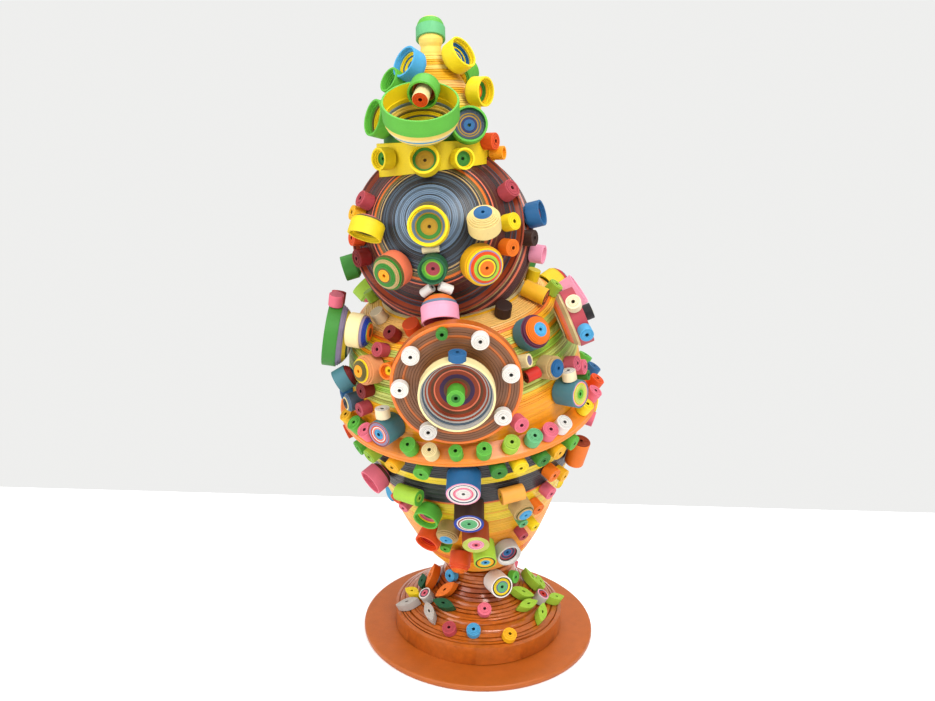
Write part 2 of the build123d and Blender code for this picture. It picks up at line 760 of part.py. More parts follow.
with BuildPart() as bowl_domes:
    dome(bowl_side, 26, 0.667, 0.94, 0.5)
    dome(bowl_side, -15, 0.547, 0.98, 0.5)
    dome(bowl_side, -11.5, 0.348, 0.96, 0.8, tilt=15, turn=180)
    dome(bowl_side, 100, 0.642, 1.2, 0.6)
    dome(bowl_side, -120, 0.6, 1.24, 0.6)
    dome(bowl_side, 165, 0.662, 1.28, 0.7)
save(bowl_domes, "bowl_domes")

with BuildPart() as bowl_cups:
    cup(bowl_side, -50, 0.818, 1.2, 0.7)
    cup(bowl_side, -23, 0.673, 1.12, 0.5)
    cup(bowl_side, -27.5, 0.492, 1.1, 0.6)
    cup(bowl_side, 20.5, 0.36, 1.1, 0.3, tilt=16, turn=0)
    cup(bowl_side, 112, 0.414, 1.2, 0.6)
    cup(bowl_side, 128, 0.766, 1.28, 0.7)
    cup(bowl_side, -112, 0.724, 1.24, 0.7)
    cup(bowl_side, -155, 0.745, 1.28, 0.7)
    cup(bowl_side, 145, 0.455, 1.16, 0.6)
    cup(bowl_side, -105, 0.414, 1.16, 0.6)
save(bowl_cups, "bowl_cups")

with BuildPart() as stem_roll:
    coil(foot_top, 21, 0.796, 1.08, 2)
save(stem_roll, "stem_roll")

# Small coils by the colour of their paper: carrier, azimuth, share and size in strip widths
on_rim = 1 - (coil_r + glue) / length_of(bowl_outline)
coil_groups = {
    "white_coils": [
        (body_side, -56, 0.922, 0.6),
        (skirt, 43.5, skirt_share, usual),
        (right_rim, -17, rim_share, 0.6),
        (bowl_side, 132, on_rim, usual),
        (bowl_side, -156, on_rim, usual),
        (skirt, -144, skirt_share, usual),
    ],
    "cream_coils": [
        (skirt, -14.2, low_share, 0.64),
        (skirt, 120, skirt_share, usual),
        (bowl_side, -108, on_rim, usual),
    ],
    "green_coils": [
        (skirt, -54.5, skirt_share, usual),
        (skirt, -23.6, skirt_share, usual),
        (skirt, -4.0, low_share, 0.56),
        (skirt, 7.0, low_share, 0.62),
        (skirt, 28.1, skirt_share, usual),
        (body_side, 70, 0.186, small),
        (skirt, 108, skirt_share, usual),
        (skirt, 168, skirt_share, usual),
        (skirt, -108, skirt_share, usual),
        (bowl_side, -56, on_rim, usual),
        (bowl_side, -19.5, on_rim, usual),
        (bowl_side, 12.6, on_rim, usual),
        (bowl_side, 32.5, on_rim, usual),
        (bowl_side, 50.5, on_rim, usual),
        (bowl_side, 96, on_rim, usual),
        (bowl_side, 168, on_rim, usual),
        (bowl_side, -120, on_rim, usual),
        (bowl_side, 28, 0.564, small),
        (bowl_side, -19.5, 0.425, 0.5),
        (foot_top, 54.5, 0.77, 0.6),
    ],
    "lime_coils": [
        (skirt, 18.2, skirt_share, usual),
        (body_side, 85, 0.801, 0.64),
        (skirt, 144, skirt_share, usual),
        (body_side, -96, 0.93, 0.64),
        (skirt, -168, skirt_share, usual),
        (bowl_side, -47, on_rim, usual),
        (bowl_side, 108, on_rim, usual),
    ],
    "pink_coils": [
        (skirt, 35.8, skirt_share, usual),
        (body_side, 24, 0.165, 0.64),
        (skirt, -46.5, skirt_share, usual),
        (body_side, -49.5, 0.276, 0.6),
        (body_side, 67, 0.279, 0.64),
        (body_side, 60.5, 0.355, 0.64),
        (skirt, 73, skirt_share, 0.64),
        (body_side, -38.5, 0.724, 0.6),
        (skirt, 132, skirt_share, usual),
        (left_rim, 50, rim_share, 0.62),
        (bowl_side, 43.3, 0.695, 0.6),
        (bowl_side, 30.3, 0.458, 0.48),
        (bowl_side, -38.2, 0.671, 0.5),
        (bowl_side, 72, on_rim, usual),
        (bowl_side, -168, on_rim, usual),
        (foot_top, 4.9, 0.513, 0.66),
        (foot_top, -22.2, 0.293, 0.66),
        (foot_top, 150, 0.3, 0.66),
    ],
    "red_coils": [
        (head_ball, 118, from_nose(53.6), 0.74),
        (head_ball, -106, from_nose(46.78), 0.66),
        (head_ball, -63, from_nose(52.43), 0.72),
        (body_side, -34.5, 0.834, 0.6),
        (body_side, -47, 0.424, 0.66),
        (left_rim, 84, rim_share, 0.62),
        (bowl_side, 144, on_rim, usual),
        (bowl_side, -96, on_rim, usual),
        (foot_top, -150, 0.526, 0.66),
    ],
    "orange_coils": [
        (head_ball, 76, from_nose(51.49), usual),
        (head_ball, -78, from_nose(52.12), 0.64),
        (crown_side, 57.3, 0.205, 0.66),
        (body_side, -23.6, 0.889, 0.7),
        (skirt, 84, skirt_share, usual),
        (skirt, -120, skirt_share, usual),
        (bowl_side, -41, 0.722, 0.56),
        (bowl_side, 41.8, 0.82, 0.66),
        (bowl_side, 36.7, 0.624, 0.6),
        (bowl_side, 156, on_rim, usual),
        (bowl_side, -72, on_rim, usual),
    ],
    "yellow_coils": [
        (head_ball, 94, from_nose(49.29), usual),
        (head_ball, -96, from_nose(53.37), 0.6),
        (body_side, 95, 0.941, 0.58),
        (skirt, 61, skirt_share, 0.6),
        (skirt, -63, skirt_share, 0.64),
        (skirt, 156, skirt_share, usual),
        (skirt, -156, skirt_share, usual),
        (bowl_side, -33.3, on_rim, usual),
        (bowl_side, 21.8, on_rim, usual),
        (bowl_side, 41.1, on_rim, usual),
        (bowl_side, 84, on_rim, usual),
        (bowl_side, 180, on_rim, usual),
        (bowl_side, -132, on_rim, usual),
        (bowl_side, 51.4, 0.759, 0.6),
        (bowl_side, 38, 0.492, 0.5),
        (foot_top, 21.1, 0.248, 0.66),
    ],
    "blue_coils": [
        (right_rim, 32, rim_share, 0.56),
        (body_side, -71, 0.267, 0.56),
        (skirt, 96, skirt_share, usual),
        (skirt, 180, skirt_share, usual),
        (skirt, -132, skirt_share, usual),
        (bowl_side, 120, on_rim, usual),
        (bowl_side, -84, on_rim, usual),
        (bowl_side, -144, on_rim, usual),
        (foot_top, -45, 0.79, 0.62),
        (foot_top, -4.3, 0.312, 0.66),
        (foot_top, 138, 0.62, 0.66),
    ],
    "brown_coils": [
        (head_ball, 88, from_nose(68.44), 0.64),
        (body_side, 35.7, 0.917, usual),
    ],
}
for label, rows in coil_groups.items():
    with BuildPart() as group:
        for carrier, azimuth, share, size in rows:
            strips = flat_share if carrier is foot_top else 1
            coil(carrier, azimuth, share, size, strips)
    save(group, label)

# Flowers on the foot
flower_left = (-60, 0.469)
flower_right = (71.5, 0.409)
with BuildPart() as petals:
    flower_petals(foot_top, *flower_left, (-152, -118, -82, -35, 37, 84, 122))
    flower_petals(foot_top, *flower_right, (46, 82, 134, -42, -78, -118))
save(petals, "petals")

with BuildPart() as flower_eyes:
    coil(foot_top, *flower_left, flower_eye_r / strip)
    coil(foot_top, *flower_right, flower_eye_r / strip)
save(flower_eyes, "flower_eyes")
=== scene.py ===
import json
import math
import bpy
import numpy as np
from mathutils import Matrix

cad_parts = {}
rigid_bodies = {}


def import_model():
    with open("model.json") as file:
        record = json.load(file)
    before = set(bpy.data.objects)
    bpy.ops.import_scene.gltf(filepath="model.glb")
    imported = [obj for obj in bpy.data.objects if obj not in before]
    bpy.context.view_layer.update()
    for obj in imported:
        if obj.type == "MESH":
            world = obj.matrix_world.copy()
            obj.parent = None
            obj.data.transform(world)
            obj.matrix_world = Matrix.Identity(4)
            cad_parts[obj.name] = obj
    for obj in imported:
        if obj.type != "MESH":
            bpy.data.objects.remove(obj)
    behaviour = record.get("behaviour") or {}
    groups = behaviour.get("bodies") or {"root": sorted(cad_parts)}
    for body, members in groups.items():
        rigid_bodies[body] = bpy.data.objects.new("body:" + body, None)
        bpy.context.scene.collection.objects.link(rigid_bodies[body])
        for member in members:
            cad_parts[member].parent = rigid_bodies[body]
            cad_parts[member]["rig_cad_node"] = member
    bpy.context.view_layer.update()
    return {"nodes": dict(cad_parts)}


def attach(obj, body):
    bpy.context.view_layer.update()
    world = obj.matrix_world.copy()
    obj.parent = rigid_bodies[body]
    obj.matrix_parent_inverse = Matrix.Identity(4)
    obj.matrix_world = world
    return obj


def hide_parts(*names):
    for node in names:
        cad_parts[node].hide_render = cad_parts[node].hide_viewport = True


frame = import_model()
print("frame loaded:", len(frame["nodes"]), "nodes")

mm = 0.001
dice = np.random.default_rng(7)

# paper colours, as they look on the screen
paperColours = {
    "white": (0.93, 0.91, 0.88), "greyWhite": (0.72, 0.70, 0.67), "cream": (0.94, 0.86, 0.62),
    "ivory": (0.95, 0.88, 0.72), "paleYellow": (0.98, 0.85, 0.42), "yellow": (0.95, 0.83, 0.08),
    "paleCream": (0.90, 0.80, 0.52), "collar": (0.96, 0.76, 0.42),
    "lemon": (0.90, 0.85, 0.20), "gold": (0.95, 0.70, 0.06), "amber": (0.97, 0.62, 0.03),
    "apricot": (0.95, 0.65, 0.25), "orange": (0.92, 0.45, 0.06), "redOrange": (0.88, 0.30, 0.06),
    "red": (0.80, 0.16, 0.10), "darkRed": (0.48, 0.08, 0.07), "crimson": (0.70, 0.26, 0.30),
    "pink": (0.90, 0.42, 0.50), "lightPink": (0.96, 0.62, 0.72), "salmon": (0.93, 0.47, 0.33),
    "tan": (0.76, 0.64, 0.42), "ochre": (0.70, 0.54, 0.08), "olive": (0.42, 0.38, 0.18),
    "brown": (0.40, 0.24, 0.12), "darkBrown": (0.22, 0.12, 0.08), "maroon": (0.33, 0.11, 0.07),
    "rust": (0.60, 0.23, 0.09), "green": (0.22, 0.52, 0.17), "leaf": (0.36, 0.70, 0.22),
    "mint": (0.40, 0.72, 0.48), "darkGreen": (0.09, 0.34, 0.20), "lime": (0.62, 0.78, 0.22),
    "paleLime": (0.78, 0.82, 0.38), "blue": (0.12, 0.38, 0.58), "skyBlue": (0.28, 0.62, 0.80),
    "navy": (0.12, 0.17, 0.38), "royal": (0.13, 0.26, 0.66), "steel": (0.40, 0.49, 0.58),
    "slate": (0.28, 0.34, 0.40), "teal": (0.28, 0.48, 0.52), "lilac": (0.60, 0.54, 0.66),
    "purple": (0.24, 0.12, 0.28), "plum": (0.38, 0.17, 0.27), "black": (0.11, 0.11, 0.12),
    "charcoal": (0.18, 0.18, 0.20), "copper": (0.75, 0.38, 0.08), "darkCopper": (0.62, 0.27, 0.04),
    "deepAmber": (0.95, 0.53, 0.05), "peach": (0.88, 0.60, 0.38), "olivelime": (0.62, 0.62, 0.16),
    "walnut": (0.50, 0.30, 0.15),
}


def toLinear(colour):
    # each channel of a screen colour, to the linear value that a shader takes
    c = np.asarray(colour, float)
    return np.where(c <= 0.04045, c / 12.92, ((c + 0.055) / 1.055) ** 2.4)


linearPaper = {name: toLinear(colour) for name, colour in paperColours.items()}


def bandColours(words, count, places=None):
    # "yellow 2 green 1" shared out over a number of turns, in proportion, with a small change of shade;
    # places gives how far along, from 0 to 1, each turn lies
    parts = words.split()
    shares = np.cumsum([float(share) for share in parts[1::2]])
    places = (np.arange(count) + 0.5) / count if places is None else places
    which = np.minimum(np.searchsorted(shares, places * shares[-1]), len(shares) - 1)
    table = np.array([linearPaper[name] for name in parts[0::2]])
    return table[which] * (1 + dice.uniform(-0.07, 0.07, (count, 1)))


# frames of the large coils, as the origin and the x, y and z directions
def leaning(origin, left, front):
    # the normal leans from the vertical, in degrees to the left and to the front
    z = np.array([-math.tan(math.radians(left)), -math.tan(math.radians(front)), 1.0])
    z /= np.linalg.norm(z)
    x = np.array([1.0, 0, 0]) - z * z[0]
    x /= np.linalg.norm(x)
    return np.array(origin, float), np.array([x, np.cross(z, x), z])


def facing(origin, left, up):
    # the normal looks to the front, turned in degrees to the left and up
    turn, rise = math.radians(left), math.radians(up)
    z = np.array([-math.sin(turn) * math.cos(rise), -math.cos(turn) * math.cos(rise), math.sin(rise)])
    x = np.cross([0, 0, 1.0], z)
    x /= np.linalg.norm(x)
    return np.array(origin, float), np.array([x, np.cross(z, x), z])


def moved(place, distance):
    return place[0] + place[1][2] * distance, place[1]


sizes = {
    "baseR": 57.0, "baseT": 3.0, "footH": 37.0, "footR": 41.5, "footEdge": 9.0, "stemR": 16.5,
    "bowlBaseR": 15.0, "bowlRimR": 53.0, "bowlH": 87.0, "ledgeR": 57.5, "ledgeInR": 46.0, "ledgeT": 3.0,
    "bodyR": 51.5, "shoulderH": 49.3, "collarR": 30.5, "wall": 2.0, "glue": 0.1,
    "headR": 36.5, "headWall": 2.2, "seamAngle": 62.0, "lipOut": 2.2, "lipT": 1.8,
    "bandR": 23.5, "bandH": 11.0, "plateR": 20.5, "plateT": 3.0,
    "coneR": 19.5, "coneTipR": 6.2, "coneH": 29.5,
    "neckR": 4.3, "neckH": 3.6, "ballR": 4.8, "capR": 5.8, "capBack": 24.0, "medalR": 25.2,
}
s = sizes
footPlace = (np.array([0, 0, s["baseT"]]), np.eye(3))
bowlPlace = leaning((0, 0, s["baseT"] + s["footH"]), 5.3, 12.0)
ledgePlace = moved(bowlPlace, s["bowlH"])
bodyCut = moved(ledgePlace, s["ledgeT"])
bodyPlace = leaning(bodyCut[0], 9.5, 12.0)
headUp = math.sqrt((s["headR"] + s["glue"]) ** 2 - (s["collarR"] - s["wall"]) ** 2)
ballCentre = moved(bodyPlace, s["shoulderH"] + headUp)[0]
headPlace = facing(ballCentre, 9.0, 18.5)
crownAxis = leaning(ballCentre - [2.4, 0, 0], 3.5, 0)
bandPlace = moved(crownAxis, math.sqrt(s["headR"] ** 2 - s["bandR"] ** 2))
platePlace = moved(bandPlace, s["bandH"])
conePlace = moved(platePlace, s["plateT"])
neckPlace = moved(conePlace, s["coneH"])

footLine = np.array([
    (s["footR"], 0), (s["footR"], s["footEdge"]), (s["footR"] - 5.5, s["footEdge"] + 3),
    (s["footR"] - 12.5, s["footEdge"] + 7), (s["stemR"] + 5.5, s["footH"] - 16),
    (s["stemR"] + 1.5, s["footH"] - 10), (s["stemR"], s["footH"]), (s["stemR"], s["footH"] + 4),
])
bowlLine = np.array([
    (s["bowlBaseR"], 0), (s["bowlBaseR"] + 6, 4), (s["bowlBaseR"] + 11, 11), (s["bowlBaseR"] + 15.7, 20),
    (s["bowlBaseR"] + 20.6, 32), (s["bowlRimR"] - 12.6, s["bowlH"] - 41),
    (s["bowlRimR"] - 7.8, s["bowlH"] - 26),
    (s["bowlRimR"] - 3.2, s["bowlH"] - 11), (s["bowlRimR"], s["bowlH"]),
])
bodyLine = np.array([
    (s["bodyR"], 0), (s["bodyR"] - 0.3, 10), (s["bodyR"] - 1.2, 20),
    (s["bodyR"] - 2.7, s["shoulderH"] - 21.3),
    (s["bodyR"] - 5, s["shoulderH"] - 13.8), (s["bodyR"] - 8.3, s["shoulderH"] - 7.8),
    (s["collarR"] + 8, s["shoulderH"] - 3.3), (s["collarR"], s["shoulderH"]),
])
ballLine = np.array([
    (s["headR"] * math.sin(math.radians(180 - a)), s["headR"] * math.cos(math.radians(180 - a)))
    for a in range(0, 181, 6)
])
coneLine = np.array([
    (s["coneR"], 0), (s["coneR"] - 3, 12), (s["coneR"] - 6.2, 18.5), (s["coneR"] - 8.6, 22.5),
    (s["coneR"] - 10.2, 25.5), (s["coneTipR"], s["coneH"]),
])
bandLine = np.array([(s["bandR"], 0), (s["bandR"], s["bandH"])])
crownLine = np.vstack([
    bandLine, [(s["plateR"], s["bandH"])],
    np.vstack([[(s["plateR"], 0)], coneLine]) + [0, s["bandH"] + s["plateT"]],
])
carriers = {
    "foot": (footPlace, footLine), "bowl": (bowlPlace, bowlLine), "body": (bodyPlace, bodyLine),
    "head": (headPlace, ballLine), "cone": (conePlace, coneLine), "band": (bandPlace, bandLine),
    "crown": (bandPlace, crownLine),
}


def spotOn(carrier, azimuth, run):
    # the point at a length along the outline and an angle round the axis, with the outward normal
    place, line = carriers[carrier]
    steps = np.diff(line, axis=0)
    lengths = np.hypot(steps[:, 0], steps[:, 1])
    ends = np.cumsum(lengths)
    k = min(int(np.searchsorted(ends, run)), len(ends) - 1)
    share = min((run - ends[k] + lengths[k]) / lengths[k], 1.0)
    radius, height = line[k] + share * steps[k]
    angle = math.radians(azimuth)
    x, y, z = place[1]
    radial = x * math.sin(angle) - y * math.cos(angle)
    normal = radial * (steps[k, 1] / lengths[k]) - z * (steps[k, 0] / lengths[k])
    return place[0] + radial * radius + z * height, normal


def nose(run):
    # a length over the ball measured from its front, as a run from its back
    return math.pi * s["headR"] - run


# meshes, gathered as whole arrays
class Pile:
    def __init__(self):
        self.points, self.quads, self.tris, self.quadPaper, self.triPaper = [], [], [], [], []
        self.count = 0

    def add(self, points, quads, quadPaper, tris=None, triPaper=None):
        self.points.append(points)
        self.quads.append(quads + self.count)
        self.quadPaper.append(quadPaper)
        if tris is not None and len(tris):
            self.tris.append(tris + self.count)
            self.triPaper.append(triPaper)
        self.count += len(points)

    def mesh(self, name, sharp=32):
        points = np.concatenate(self.points) * mm
        # points within a micrometre are one point, so that seams are closed
        keys = np.round(points * 1e6).astype(np.int64)
        first, back = np.unique(keys, axis=0, return_index=True, return_inverse=True)[1:]
        points = points[first]
        quads = back.ravel()[np.concatenate(self.quads)]
        tris = back.ravel()[np.concatenate(self.tris)] if self.tris else np.zeros((0, 3), int)
        loops = np.concatenate([quads.ravel(), tris.ravel()]).astype(np.int32)
        starts = np.concatenate([np.arange(len(quads)) * 4, len(quads) * 4 + np.arange(len(tris)) * 3])
        colours = np.repeat(np.concatenate(self.quadPaper), 4, axis=0)
        if self.triPaper:
            colours = np.vstack([colours, np.repeat(np.concatenate(self.triPaper), 3, axis=0)])
        mesh = bpy.data.meshes.new(name)
        mesh.vertices.add(len(points))
        mesh.vertices.foreach_set("co", points.ravel().astype(np.float32))
        mesh.loops.add(len(loops))
        mesh.loops.foreach_set("vertex_index", loops)
        mesh.polygons.add(len(starts))
        mesh.polygons.foreach_set("loop_start", starts.astype(np.int32))
        mesh.update(calc_edges=True)
        mesh.polygons.foreach_set("use_smooth", np.ones(len(starts), bool))
        mesh.set_sharp_from_angle(angle=math.radians(sharp))
        layer = mesh.color_attributes.new("paper", "FLOAT_COLOR", "CORNER")
        colours = np.column_stack([colours, np.ones(len(colours))])
        layer.data.foreach_set("color", colours.astype(np.float32).ravel())
        mesh.update()
        return mesh


def addTurned(pile, profile, papers, place, columns, seam=0.0, wobble=0.0, outline=None, ripple=0.0):
    # x = r(i) cos a, y = r(i) sin a, z = h(i) on a grid of profile points i and angles a; the radius
    # shrinks by the seam over one round, as the last turn of a wound strip does, and wavers by the wobble
    profile = np.asarray(profile, float)
    distinct = np.concatenate([[True], np.abs(np.diff(profile, axis=0)).max(axis=1) > 2e-3])
    papers = np.asarray(papers)[distinct[1:]]
    radius, height = profile[distinct].T
    angle = np.linspace(0, 2 * math.pi, columns, endpoint=False)
    phase = dice.uniform(0, 6.28, 2)
    waver = wobble * (np.sin(2 * angle + phase[0]) + 0.6 * np.sin(3 * angle + phase[1]))
    grid = radius[:, None] * (1 + (waver - seam * angle / 6.2832)[None, :])
    if ripple:
        # each ring also swells and shrinks, by ripple (sin(2a + 0.9i) + sin(5a - 1.7i)) / 2 at ring i
        order = np.arange(len(radius))[:, None]
        swell = (np.sin(2 * angle + 0.9 * order) + np.sin(5 * angle - 1.7 * order)) / 2
        grid = grid + ripple * swell * (radius > 1)[:, None]
    across = np.cos(angle) if outline is None else outline[0]
    upward = np.sin(angle) if outline is None else outline[1]
    x, y, z = place[1]
    points = (
        place[0] + (grid * across)[..., None] * x + (grid * upward)[..., None] * y
        + (height[:, None] * np.ones(columns))[..., None] * z
    )
    rings = len(radius)
    index = np.arange(rings * columns).reshape(rings, columns)
    low = index[:-1]
    high = index[1:]
    quads = np.stack([low, np.roll(low, -1, 1), np.roll(high, -1, 1), high], -1)
    quadPaper = np.repeat(papers[:, None, :], columns, axis=1)
    flat = points.reshape(-1, 3)
    tris, triPaper = [], []
    startPole, endPole = radius[0] < 1e-6, radius[-1] < 1e-6
    keep = slice(1 if startPole else 0, (rings - 2) if endPole else (rings - 1))
    if startPole:
        tris.append(np.stack([np.full(columns, index[0, 0]), np.roll(index[1], -1), index[1]], -1))
        triPaper.append(quadPaper[0])
    if endPole:
        tris.append(np.stack([index[-2], np.roll(index[-2], -1), np.full(columns, index[-1, 0])], -1))
        triPaper.append(quadPaper[-1])
    quads = quads[keep].reshape(-1, 4)
    quadPaper = quadPaper[keep].reshape(-1, 3)
    tris = np.concatenate(tris) if tris else np.zeros((0, 3), int)
    triPaper = np.concatenate(triPaper) if triPaper else np.zeros((0, 3))
    used = np.unique(np.concatenate([quads.ravel(), tris.ravel()]))
    renumber = np.zeros(len(flat), int)
    renumber[used] = np.arange(len(used))
    pile.add(flat[used], renumber[quads], quadPaper, renumber[tris], triPaper)


# the groove factor paints the grooves between turns darker, as painted shade; the rim factor paints the rim
# edges of coils and cups a little lighter, as a painted highlight
winding = {
    "eye": 0.7, "turn": 0.56, "groove": 0.16, "unevenness": 0.09, "columns": 30, "cupColumns": 44,
    "strip": 5.0, "floor": 4.2, "paintedGrooveShade": 0.68, "paintedRimHighlight": 1.05, "seam": 0.035,
}


def woundFace(outer, height, look, deep=2.2, step=None):
    # the end of a tight coil from its edge to its eye:
    # each turn is a flat ring at its own height, then a groove that is painted darker as shade; the eye is
    # painted darker and darker down its hole, as painted shade
    w = winding
    count = max(3, int(round((outer - w["eye"]) / (step or w["turn"]))))
    edges = np.linspace(outer, w["eye"], count + 1)
    levels = height + dice.normal(0, w["unevenness"], count).clip(-0.2, 0.2)
    levels[0] = height
    papers = bandColours(look, count)
    width = (outer - w["eye"]) / count
    ring = np.stack([edges[:-1], edges[1:] + width * 0.22, edges[1:] + width * 0.12], 1)
    tops = np.stack([levels, levels, levels - w["groove"]], 1)
    profile = np.column_stack([ring.ravel(), tops.ravel()])
    tint = np.stack([papers, papers * w["paintedGrooveShade"], papers * w["paintedGrooveShade"]], 1).reshape(-1, 3)
    eye = [(w["eye"], levels[-1]), (w["eye"] * 0.9, height - deep), (0, height - deep)]
    profile = np.vstack([profile, eye])
    # the eye's rim, wall and floor are painted darker and darker, as shade in the hole
    tint = np.vstack([tint[:-1], papers[-1:] * 0.6, papers[-1:] * 0.25, papers[-1:] * 0.12])
    return profile, np.vstack([tint, papers[-1:] * 0.12])[: len(profile) - 1]


def addCoil(pile, place, radius, width, side, face, bothEnds=False, columns=None):
    # a tight coil: up its wall, over the edge and in over the wound face; a one-ended coil's underside is
    # painted darker as shade, and its top edge a little lighter as a painted highlight
    w = winding
    sidePaper = linearPaper[side] * dice.uniform(0.93, 1.05)
    top, topPaper = woundFace(radius - 0.12, width, face)
    if bothEnds:
        under, underPaper = woundFace(radius - 0.12, width, face)
        under = under[::-1] * [1, -1] + [0, width]
        underPaper = underPaper[::-1]
        start = under
        startPaper = np.vstack([underPaper, sidePaper])
    else:
        start = np.array([(0, 0), (radius - 0.15, 0)])
        # the underside is painted darker, as shade under the coil
        startPaper = np.array([sidePaper * 0.6, sidePaper])
    wallPoints = np.array([(radius, 0.15), (radius, width - 0.14)])
    profile = np.vstack([start, wallPoints, top])
    # the turn over the top edge is painted a little lighter, as a painted highlight
    papers = np.vstack([startPaper, sidePaper, sidePaper * w["paintedRimHighlight"], topPaper])
    addTurned(pile, profile, papers, place, columns or w["columns"], seam=w["seam"], wobble=0.006)


def steppedCurve(radii, heights, outer, inner, count, before=0.0):
    # a curve cut into treads and risers: each turn is a ring at the height of the curve at its middle;
    # also how far along the curve each turn lies, from 0 to 1, where the curve starts after a given length
    edges = np.linspace(outer, inner, count + 1)
    middle = (edges[:-1] + edges[1:]) / 2
    order = np.argsort(radii)
    level = np.interp(middle, radii[order], heights[order]) + dice.normal(0, 0.04, count).clip(-0.08, 0.08)
    lengths = np.hypot(np.diff(edges), np.diff(np.interp(edges, radii[order], heights[order])))
    places = (before + np.cumsum(lengths) - lengths / 2) / (before + lengths.sum())
    return np.column_stack([np.stack([edges[:-1], edges[1:]], 1).ravel(), np.repeat(level, 2)]), places


def arcThrough(a, b, c, count=24):
    # the circle through three points, from the first to the last
    (ax, ay), (bx, by), (cx, cy) = a, b, c
    d = 2 * (ax * (by - cy) + bx * (cy - ay) + cx * (ay - by))
    ux = ((ax**2 + ay**2) * (by - cy) + (bx**2 + by**2) * (cy - ay) + (cx**2 + cy**2) * (ay - by)) / d
    uy = ((ax**2 + ay**2) * (cx - bx) + (bx**2 + by**2) * (ax - cx) + (cx**2 + cy**2) * (bx - ax)) / d
    start, end = math.atan2(ay - uy, ax - ux), math.atan2(cy - uy, cx - ux)
    turn = (end - start + math.pi) % (2 * math.pi) - math.pi
    angles = start + turn * np.linspace(0, 1, count)
    size = math.hypot(ax - ux, ay - uy)
    return ux + size * np.cos(angles), uy + size * np.sin(angles)


def addCup(pile, place, radius, rise, share, look, inside=None, floor=None, columns=None):
    # a coil pushed out into a cup: out along the underside in steps, up the rim turn, and in over the inside;
    # the risers of the steps are painted darker as shade, the middle of the underside and the eye inside darker
    # still as painted shade, and the rim a little lighter as a painted highlight
    w = winding
    strip, floor = w["strip"], floor or w["floor"]
    floorR, inR = radius * share, radius - 0.8
    midR = floorR + (radius - floorR) * 0.72
    count = max(5, int(round((radius - w["eye"]) / w["turn"])))
    r, h = arcThrough((floorR, 0), (midR, rise * 0.42), (radius, rise))
    r, h = np.append(r, 0), np.append(h, 0)
    under, underPlaces = steppedCurve(r, h, radius, w["eye"], count)
    under = under[::-1]
    under[:, 1] = np.maximum(under[:, 1], 0)
    r, h = arcThrough((floorR, floor), (midR - 0.4, rise * 0.42 + floor), (inR, rise + floor))
    r, h = np.append(r, 0), np.append(h, floor)
    within, withinPlaces = steppedCurve(r, h, inR, w["eye"], count)
    papers = bandColours(look, count, underPlaces)
    innerPapers = bandColours(inside or look, count, withinPlaces)
    rim = bandColours(look, 1, np.zeros(1))[0]
    profile = np.vstack([
        [(0, 0)], under, [(radius, rise), (radius, rise + strip - 0.12), (radius - 0.12, rise + strip)],
        [(inR + 0.1, rise + strip)], [(inR, rise + strip - 0.1)], within,
        [(w["eye"] * 0.9, floor - 0.9), (0, floor - 0.9)],
    ])
    # outside and inside, the second segment of each turn, its riser, is painted darker, as shade on the steps
    pale = np.repeat(papers[::-1], 2, axis=0)
    pale[1::2] *= 0.93
    deep = np.repeat(innerPapers, 2, axis=0)
    deep[1::2] *= 0.86
    # the middle of the underside and the eye inside are painted dark as shade, and the three segments over the
    # rim a little lighter as a painted highlight
    tints = np.vstack([
        pale[:1] * 0.5, pale, rim, np.tile(rim * w["paintedRimHighlight"], (3, 1)), innerPapers[0],
        deep, papers[-1] * 0.2, papers[-1] * 0.12,
    ])
    tints = tints[: len(profile) - 1]
    addTurned(pile, profile, tints, place, columns or w["cupColumns"], seam=0.012, wobble=0.004)


def addDome(pile, place, radius, rise, look, columns=None):
    # a coil pushed out into a dome: up the edge turn and in over the outside in steps,
    # with a hollow underside that is painted darker as shade; the risers of the steps are painted a little
    # darker and the eye at the top dark, as painted shade
    w = winding
    strip = w["strip"]
    topR, midR = radius * 0.3, radius * 0.78
    count = max(5, int(round((radius - w["eye"]) / w["turn"])))
    r, h = arcThrough((radius, strip), (midR, strip + rise * 0.62), (topR, strip + rise))
    r, h = np.append(r, 0), np.append(h, strip + rise)
    over, places = steppedCurve(r, h, radius, w["eye"], count, strip * 0.3)
    papers = bandColours(look, count, places)
    edge = bandColours(look, 1, np.zeros(1))
    profile = np.vstack([
        [(0, rise)], [(topR, rise)], [(midR - 0.4, rise * 0.62)], [(radius - 0.8, 0)], [(radius - 0.1, 0)],
        [(radius, 0.12)], [(radius, strip - 0.05)], over,
        [(w["eye"] * 0.9, strip + rise - 1.6), (0, strip + rise - 1.6)],
    ])
    treads = np.repeat(papers, 2, axis=0)
    # the second segment of each turn, the riser of a step, is painted darker as shade
    treads[1::2] *= 0.88
    tints = np.vstack([
        papers[-1:] * 0.7, papers[-1:] * 0.7, edge * 0.7, edge, edge, edge, edge, treads,
        papers[-1:] * 0.2, papers[-1:] * 0.12,
    ])
    tints = tints[: len(profile) - 1]
    addTurned(pile, profile, tints, place, columns or w["cupColumns"], seam=0.012, wobble=0.004)


